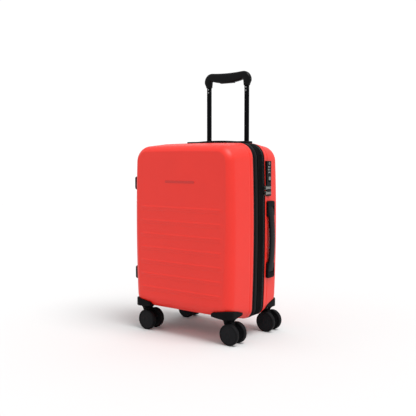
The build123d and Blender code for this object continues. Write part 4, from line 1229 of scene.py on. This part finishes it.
def carry_parts(bow, thickness, waist):
    """Flat-drawn bowed grip: crowned strap that narrows by waist in its middle, and its two legs."""
    reach = HANDLE_HALF - HANDLE_BLOCK / 2 + LEG[0] / 2
    end_z = BLOCK_PROUD - 1.6
    rings = []
    for k in range(61):
        share = -1 + 2 * k / 60
        x = reach * share
        top = end_z + (bow - end_z) * (1 - share * share)
        half = CARRY_HALF - waist * (1 - share * share)
        end = min(1.0, (1 - abs(share)) / 0.03)
        narrow = 1.6 * (1 - sqrt(1 - (1 - end) ** 2))
        ring = []
        for px, py in rounded_rectangle(2 * (half - narrow), thickness, 1.9, 5):
            across = px / half
            crown = 0.55 * (1 - across * across)
            ring.append((x, px, top - thickness / 2 - 0.55 + py + crown))
        rings.append(ring)
    parts = [tube_of_rings(rings)]
    for side in (-1, 1):
        leg = soft_block(*LEG, -20.0, end_z - 1.0, 2.0, 0.5)
        parts.append(moved(leg, Matrix.Translation((side * (reach - LEG[0] / 2), 0, 0))))
    return parts


def make_carry_handle(name, plane, body, ends_node, grip_node, bow, thickness, waist):
    """One carry handle: two end blocks set in the shell, and the bowed grip between them."""
    blocks, wells = [], []
    for offset in block_offsets():
        side = 1 if offset > 0 else -1
        place = plane @ Matrix.Translation((offset, 0, 0))
        block = soft_block(HANDLE_BLOCK, HANDLE_DEPTH, -12.0, BLOCK_PROUD, BLOCK_CORNER_R, 2.4, 0.3, 6)
        blocks.append(moved(block, place))
        slot = soft_block(HANDLE_BLOCK, 2 * CARRY_HALF + 1.0, BLOCK_PROUD - 6.0, BLOCK_PROUD + 6.0, 3.0, 0.2)
        wells.append(moved(slot, place @ Matrix.Translation((-side * 16.0, 0, 0))))
    ends = make_piece(f"{name}_end_blocks", blocks, "trim", 40.0)
    cut(ends, wells)
    finish_mesh(ends.data, 40.0)
    fit_piece(ends, "back_case", "black_plastic", ends_node)
    bow_parts = [moved(part, plane) for part in carry_parts(bow, thickness, waist)]
    grip = make_piece(f"{name}_bow", bow_parts, "gloss_trim", 50.0)
    fit_piece(grip, body, "black_plastic", grip_node)


def make_feet(name, back):
    """Pair of side feet with soft edges and three shallow ribs on the tread."""
    toward = 1 if back else -1
    parts = []
    for z in FOOT_Z:
        place = flat_placement((-FOOT_ROOT_X, toward * FOOT_Y, z), (0, 1, 0), (-1, 0, 0))
        rings = []
        for height, width, tall, corner in (
                (0.0, 38.6, 40.6, 7.6), (9.0, 36.0, 39.4, 7.0),
                (14.6, 35.0, 38.9, 6.6), (16.2, 34.0, 38.0, 6.2),
                (17.0, 32.4, 36.4, 5.6), (17.4, 30.0, 34.0, 4.8)):
            rings.append([(a, b, height) for a, b in rounded_rectangle(width, tall, corner, 6)])
        parts.append(moved(tube_of_rings(rings), place))
        for offset in (-9.0, 0.0, 9.0):
            bar = soft_block(24.0, 3.0, 17.0, 17.44, 1.4, 0.2)
            parts.append(moved(bar, place @ Matrix.Translation((0, offset, 0))))
    feet = make_piece(name, parts, "trim", 40.0)
    body, node = ("back_case", "back_feet") if back else ("front_case", "front_feet")
    fit_piece(feet, body, "black_plastic", node)


# ---- lock, dials, interior -------------------------------------------------------------------
def make_dials(digit_height):
    """Three knurled dials with the numbers 0 to 9 on each."""
    half, stroke = digit_height / 2, digit_height * 0.09
    for index in range(3):
        z = DIAL_MID_Z + (index - 1) * DIAL_PITCH
        rings = []
        for height, inset in ((-2.7, 0.9), (-2.55, 0.35), (-2.2, 0.1), (-1.7, 0.0), (1.7, 0.0), (2.2, 0.1),
                              (2.55, 0.35), (2.7, 0.9)):
            ring = []
            for k in range(240):
                angle = tau * k / 240
                turn = (angle / tau * 10 + 0.5) % 1.0 - 0.5
                notch = 0.75 * max(0.0, 1 - (abs(0.5 - abs(turn)) / 0.11) ** 2)
                radius = DIAL_R - notch - inset
                ring.append((DIAL_X + radius * cos(angle), DIAL_Y + radius * sin(angle), z + height))
            rings.append(ring)
        dial = make_piece(f"number_dial_{index + 1}", [tube_of_rings(rings)], "dial", 40.0)
        fit_piece(dial, f"dial_{index + 1}", "dial_plastic", f"lock_dial_{index + 1}")
        parts = []
        for digit, segments in SEGMENTS.items():
            angle = tau * digit / 10
            place = (Matrix.Translation((DIAL_X, DIAL_Y, z)) @ Matrix.Rotation(angle, 4, "Z")
                     @ Matrix.Translation((DIAL_R - 0.03, 0, 0)))
            for segment in segments:
                (ax, az), (bx, bz) = STROKES[segment]
                low = (-0.1, min(ax, bx) * half - stroke, min(az, bz) * half - stroke)
                high = (0.08, max(ax, bx) * half + stroke, max(az, bz) * half + stroke)
                parts.append(moved(box_part(low, high), place))
        digits = make_piece(f"dial_digits_{index + 1}", parts, "digit")
        fit_piece(digits, f"dial_{index + 1}", "dial_plastic")


def make_pocket():
    """Knitted mesh pocket in the front half, gathered under an elastic top edge, with a bound hem."""
    across, up = 70, 54
    rows = []
    for j in range(up + 1):
        v = j / up
        row = []
        for i in range(across + 1):
            u = i / across
            gather = 0.35 * sin(u * 46 * pi) * v ** 3
            belly = 1.6 * sin(pi * u) * sin(pi * min(1.0, v * 1.05)) ** 0.8
            z = POCKET_FOOT + POCKET_HEIGHT * v - 3.0 * sin(pi * u) * v ** 2
            row.append((POCKET_WIDTH * (u - 0.5), POCKET_Y + belly + gather, z))
        rows.append(row)
    wide = across + 1
    vertices = [p for row in rows for p in row]
    faces = [(j * wide + i, j * wide + i + 1, (j + 1) * wide + i + 1, (j + 1) * wide + i)
             for j in range(up) for i in range(across)]
    net = make_piece("pocket_net", [(vertices, faces)], "mesh", 180.0)
    wall = net.modifiers.new("cloth", "SOLIDIFY")
    wall.thickness = 0.4 * MM
    apply_modifiers(net)
    finish_mesh(net.data, 60.0)
    fit_piece(net, "front_case", "pocket_mesh", "mesh_pocket")
    border = [rows[0][i] for i in range(across + 1)] + [rows[j][across] for j in range(1, up + 1)]
    border += [rows[up][i] for i in range(across - 1, -1, -1)] + [rows[j][0] for j in range(up - 1, 0, -1)]
    loop = np.array(border)
    middle = loop.mean(axis=0)
    rings = []
    for point in loop:
        inward = middle - point
        inward[1] = 0
        inward /= np.linalg.norm(inward)
        ring = []
        for a, b in rounded_rectangle(7.0, 1.5, 0.7, 3):
            ring.append(tuple(point + inward * (a + 2.5) + np.array([0, b, 0])))
        rings.append(ring)
    hem = make_piece("pocket_hem", [tube_of_rings(rings, looped=True)], "webbing", 50.0)
    fit_piece(hem, "front_case", "pocket_mesh")


def make_straps():
    """Packing straps: flat webbing from the sides of the back half to the buckle."""
    parts = []
    for side in (-1, 1):
        for far_z, near_z in STRAP_Z:
            start = Vector((side * STRAP_X[0], STRAP_Y, far_z))
            stop = Vector((side * STRAP_X[1], STRAP_Y, near_z))
            run = (stop - start).normalized()
            across = Vector((-run.z, 0, run.x))
            rings = []
            for k in range(33):
                share = k / 32
                centre = start.lerp(stop, share) + Vector((0, -0.5 * sin(pi * share), 0))
                half = 12.0 - 7.0 * share ** 3
                rings.append([tuple(centre + across * a + Vector((0, b, 0)))
                              for a, b in rounded_rectangle(2 * half, 1.1, 0.5, 3)])
            parts.append(tube_of_rings(rings))
    straps = make_piece("webbing_straps", parts, "webbing", 50.0)
    fit_piece(straps, "back_case", "zip_tape", "packing_straps")


CAD_FINISHES = {
    "blank_badge": ("badge", 0.25),
    "strap_buckle": ("trim", 0.8),
    "handle_bezel": ("gloss_trim", 0.5),
    "fixed_tubes": ("tube", 0.0),
    "tube_base": ("trim", 0.8),
    "tube_cover": ("lining", 0.6),
    "tube_pins": ("steel", 0.15),
    "release_button": ("gloss", 0.3),
    "lock_housing": ("gloss_trim", 0.2),
    "lock_slide": ("zinc", 0.25),
    "key_cylinder": ("zinc", 0.2),
    "zip_sliders": ("zinc", 0.3),
    "zip_pull_1": ("zinc", 0.45),
    "zip_pull_2": ("zinc", 0.45),
}


def finish_cad_nodes():
    """Finishes on the fixed frame's own nodes, with their edges softened."""
    finishes = dict(CAD_FINISHES)
    for corner, _, _ in caster_corners():
        finishes[f"axle_{corner}"] = ("steel", 0.3)
    for name, (key, edge) in finishes.items():
        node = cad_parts[name]
        node.data.materials.clear()
        node.data.materials.append(material(key))
        node.data.polygons.foreach_set("use_smooth", [True] * len(node.data.polygons))
        if "custom_normal" in node.data.attributes:
            node.data.attributes.remove(node.data.attributes["custom_normal"])
        weld = node.modifiers.new("weld", "WELD")
        weld.merge_threshold = 0.002 * MM
        if edge:
            round_over = node.modifiers.new("round", "BEVEL")
            round_over.width = edge * MM
            round_over.segments = 3
            round_over.limit_method = "ANGLE"
            round_over.angle_limit = radians(35)
            round_over.harden_normals = True


# ---- stage -----------------------------------------------------------------------------------
def make_stage(look):
    """Pale floor, soft studio light and the camera."""
    rings = [[(r * cos(tau * k / 96), r * sin(tau * k / 96), -0.02) for k in range(96)]
             for r in (50.0, 600.0, 2500.0, 6000.0)]
    disc = tube_of_rings(rings, closed_ends=False)
    disc[1].append(tuple(range(96)))
    floor = make_piece("studio_floor", [disc], "floor", 60.0)
    world = bpy.data.worlds.new("studio_world")
    bpy.context.scene.world = world
    world.use_nodes = True
    tree = world.node_tree
    glow = tree.nodes["Background"]
    glow.inputs["Color"].default_value = (1, 1, 1, 1)
    rays = add_node(tree, "ShaderNodeLightPath").outputs["Is Camera Ray"]
    tree.links.new(between(tree, rays, look.sky_strength, 1.05), glow.inputs["Strength"])
    for name, towards, spread, power in (
            ("key_light", (0.45, -0.04, 0.9), 34.0, look.key_power),
            ("fill_light", (-0.5, -0.8, 0.35), 60.0, look.fill_power)):
        data = bpy.data.lights.new(name, "SUN")
        data.angle = radians(spread)
        data.energy = power
        lamp = bpy.data.objects.new(name, data)
        lamp.rotation_euler = (-Vector(towards)).to_track_quat("-Z", "Y").to_euler()
        bpy.context.scene.collection.objects.link(lamp)
    data = bpy.data.cameras.new("camera")
    data.lens = CAMERA_LENS
    data.sensor_width = 36.0
    camera = bpy.data.objects.new("camera", data)
    turn, drop = radians(CAMERA_TURN), radians(CAMERA_DROP)
    ahead = Vector((-sin(turn) * cos(drop), cos(turn) * cos(drop), -sin(drop)))
    camera.location = CAMERA_PLACE
    camera.rotation_euler = ahead.to_track_quat("-Z", "Y").to_euler()
    bpy.context.scene.collection.objects.link(camera)
    bpy.context.scene.camera = camera
    bpy.context.scene.view_settings.view_transform = "Standard"


# ---- settings --------------------------------------------------------------------------------
def colour_setting(label, about, code):
    """A colour that a user can change, from its sRGB code."""
    return bpy.props.FloatVectorProperty(
        name=label, description=about, subtype="COLOR", size=3, min=0.0, max=1.0, default=hex_linear(code))


class SuitcaseColours(bpy.types.PropertyGroup):
    """Colour of each finish."""
    shell: colour_setting("Shell", "Moulded shells", "DE2211")
    badge: colour_setting("Badge", "Plain bar on the front", "BE2119")
    trim: colour_setting("Trim", "Guards, feet, grip and forks", "0B0B0D")
    gloss_trim: colour_setting("Smooth trim", "Bezel, lock and grips", "08080A")
    strip: colour_setting("Strip", "Moulded strip of the band", "101012")
    gloss: colour_setting("Polished parts", "Release button and collars", "101012")
    dial: colour_setting("Dials", "Lock dials", "3A3A3D")
    digit: colour_setting("Digits", "Numbers on the dials", "D9D9D4")
    tyre: colour_setting("Tyres", "Wheel tyres", "101012")
    disc: colour_setting("Wheel discs", "Moulded wheel discs", "1B1B1D")
    tube: colour_setting("Tubes", "Telescopic tubes", "0E0E10")
    zinc: colour_setting("Zip metal", "Sliders, pulls and key cylinder", "8E8C88")
    steel: colour_setting("Steel", "Axles, pins and screws", "A6A6A8")
    band: colour_setting("Band", "Woven band and hinge", "060607")
    tape: colour_setting("Zip tape", "Woven zip tape", "0F0F11")
    stitch: colour_setting("Stitches", "Stitching thread", "242427")
    lining: colour_setting("Lining", "Woven lining", "4A4C50")
    webbing: colour_setting("Webbing", "Packing straps and hems", "1B1B1D")
    mesh: colour_setting("Mesh", "Pocket mesh", "202023")
    coil: colour_setting("Zip coil", "Zip teeth", "1E1E20")
    floor: colour_setting("Floor", "Studio floor", "D6D6D6")


class SuitcaseSizes(bpy.types.PropertyGroup):
    """Sizes of the small surface details, in metres."""
    tooth_pitch: bpy.props.FloatProperty(
        name="Zip tooth pitch", description="Distance between zip teeth", unit="LENGTH", default=0.0021,
        min=0.001, max=0.005, precision=5)
    stitch_length: bpy.props.FloatProperty(
        name="Stitch length", description="Length of one stitch on the band", unit="LENGTH", default=0.0032,
        min=0.001, max=0.008, precision=5)
    digit_height: bpy.props.FloatProperty(
        name="Digit height", description="Height of the numbers on the dials", unit="LENGTH", default=0.0028,
        min=0.001, max=0.004, precision=5)


class SuitcaseLight(bpy.types.PropertyGroup):
    """Strength of the studio lights."""
    sky_strength: bpy.props.FloatProperty(
        name="Sky", description="Strength of the even white light", default=0.86, min=0.0, max=3.0)
    key_power: bpy.props.FloatProperty(
        name="Key", description="Strength of the soft light above the lock side", default=2.3, min=0.0)
    fill_power: bpy.props.FloatProperty(
        name="Fill", description="Strength of the soft light on the front", default=0.1, min=0.0)


# ---- operators -------------------------------------------------------------------------------
class SUITCASE_OT_stage(bpy.types.Operator):
    """Lay the floor and place the lights and camera"""
    bl_idname = "suitcase.stage"
    bl_label = "Stage"

    def execute(self, context):
        make_stage(context.scene.suitcase_light)
        return {"FINISHED"}


class SUITCASE_OT_shells(bpy.types.Operator):
    """Mould the front and back shells and line them"""
    bl_idname = "suitcase.shells"
    bl_label = "Shells"

    def execute(self, context):
        fit_piece(make_shell("front_shell_moulding", False), "front_case", "red_shell", "front_shell")
        fit_piece(make_shell("back_shell_moulding", True), "back_case", "red_shell", "back_shell")
        fit_piece(make_lining("front_cloth_lining", False), "front_case", "lining_cloth", "front_lining")
        fit_piece(make_lining("back_cloth_lining", True), "back_case", "lining_cloth", "back_lining")
        return {"FINISHED"}


class SUITCASE_OT_band(bpy.types.Operator):
    """Build the band between the shells, with its strip and stitches"""
    bl_idname = "suitcase.band"
    bl_label = "Band"

    def execute(self, context):
        make_band(context.scene.suitcase_sizes.stitch_length / MM)
        return {"FINISHED"}


class SUITCASE_OT_zips(bpy.types.Operator):
    """Lay the zip tapes and teeth"""
    bl_idname = "suitcase.zips"
    bl_label = "Zips"

    def execute(self, context):
        make_zips(context.scene.suitcase_sizes.tooth_pitch / MM)
        return {"FINISHED"}


class SUITCASE_OT_cloth(bpy.types.Operator):
    """Hang the gusset, the hinge, the mesh pocket and the straps"""
    bl_idname = "suitcase.cloth"
    bl_label = "Cloth parts"

    def execute(self, context):
        make_gusset()
        make_hinge()
        make_pocket()
        make_straps()
        return {"FINISHED"}


class SUITCASE_OT_guards(bpy.types.Operator):
    """Mould the corner guards and the side feet"""
    bl_idname = "suitcase.guards"
    bl_label = "Guards and feet"

    def execute(self, context):
        make_guards("front_corner_guards", False)
        make_guards("back_corner_guards", True)
        make_feet("front_side_feet", False)
        make_feet("back_side_feet", True)
        return {"FINISHED"}


class SUITCASE_OT_casters(bpy.types.Operator):
    """Build the swivel forks and the twin wheels"""
    bl_idname = "suitcase.casters"
    bl_label = "Casters"

    def execute(self, context):
        make_forks()
        make_wheels()
        return {"FINISHED"}


class SUITCASE_OT_telescope(bpy.types.Operator):
    """Build the telescopic handle"""
    bl_idname = "suitcase.telescope"
    bl_label = "Telescopic handle"

    def execute(self, context):
        make_tubes()
        make_grip()
        return {"FINISHED"}


class SUITCASE_OT_carry(bpy.types.Operator):
    """Build the side and top carry handles"""
    bl_idname = "suitcase.carry"
    bl_label = "Carry handles"

    def execute(self, context):
        make_carry_handle(
            "side_carry", SIDE_HANDLE, "side_grip", "side_handle_ends", "side_handle_grip", *SIDE_BOW)
        make_carry_handle(
            "top_carry", TOP_HANDLE, "top_grip", "top_handle_ends", "top_handle_grip", *TOP_BOW)
        return {"FINISHED"}


class SUITCASE_OT_lock(bpy.types.Operator):
    """Build the numbered dials of the lock"""
    bl_idname = "suitcase.lock"
    bl_label = "Lock dials"

    def execute(self, context):
        make_dials(context.scene.suitcase_sizes.digit_height / MM)
        return {"FINISHED"}


class SUITCASE_OT_frame_finish(bpy.types.Operator):
    """Give the fixed frame's own nodes their finishes"""
    bl_idname = "suitcase.frame_finish"
    bl_label = "Frame finishes"

    def execute(self, context):
        finish_cad_nodes()
        return {"FINISHED"}


OPERATORS = (
    SUITCASE_OT_stage, SUITCASE_OT_shells, SUITCASE_OT_band, SUITCASE_OT_zips, SUITCASE_OT_cloth,
    SUITCASE_OT_guards, SUITCASE_OT_casters, SUITCASE_OT_telescope, SUITCASE_OT_carry, SUITCASE_OT_lock,
    SUITCASE_OT_frame_finish)


class SUITCASE_PT_panel(bpy.types.Panel):
    """Lists the suitcase's settings and the steps that build it"""
    bl_idname = "SUITCASE_PT_panel"
    bl_label = "Suitcase"
    bl_space_type = "VIEW_3D"
    bl_region_type = "UI"
    bl_category = "Suitcase"

    def draw(self, context):
        scene = context.scene
        for group in (scene.suitcase_sizes, scene.suitcase_colours, scene.suitcase_light):
            box = self.layout.box()
            for key in group.bl_rna.properties.keys():
                if key not in ("rna_type", "name"):
                    box.prop(group, key)
        for operator in OPERATORS:
            self.layout.operator(operator.bl_idname)


CLASSES = (SuitcaseColours, SuitcaseSizes, SuitcaseLight, *OPERATORS, SUITCASE_PT_panel)


def register():
    for item in CLASSES:
        bpy.utils.register_class(item)
    bpy.types.Scene.suitcase_colours = bpy.props.PointerProperty(type=SuitcaseColours)
    bpy.types.Scene.suitcase_sizes = bpy.props.PointerProperty(type=SuitcaseSizes)
    bpy.types.Scene.suitcase_light = bpy.props.PointerProperty(type=SuitcaseLight)


def unregister():
    del bpy.types.Scene.suitcase_light
    del bpy.types.Scene.suitcase_sizes
    del bpy.types.Scene.suitcase_colours
    for item in reversed(CLASSES):
        bpy.utils.unregister_class(item)


def main():
    register()
    for operator in OPERATORS:
        group, name = operator.bl_idname.split(".")
        getattr(getattr(bpy.ops, group), name)()


if __name__ == "__main__":
    main()
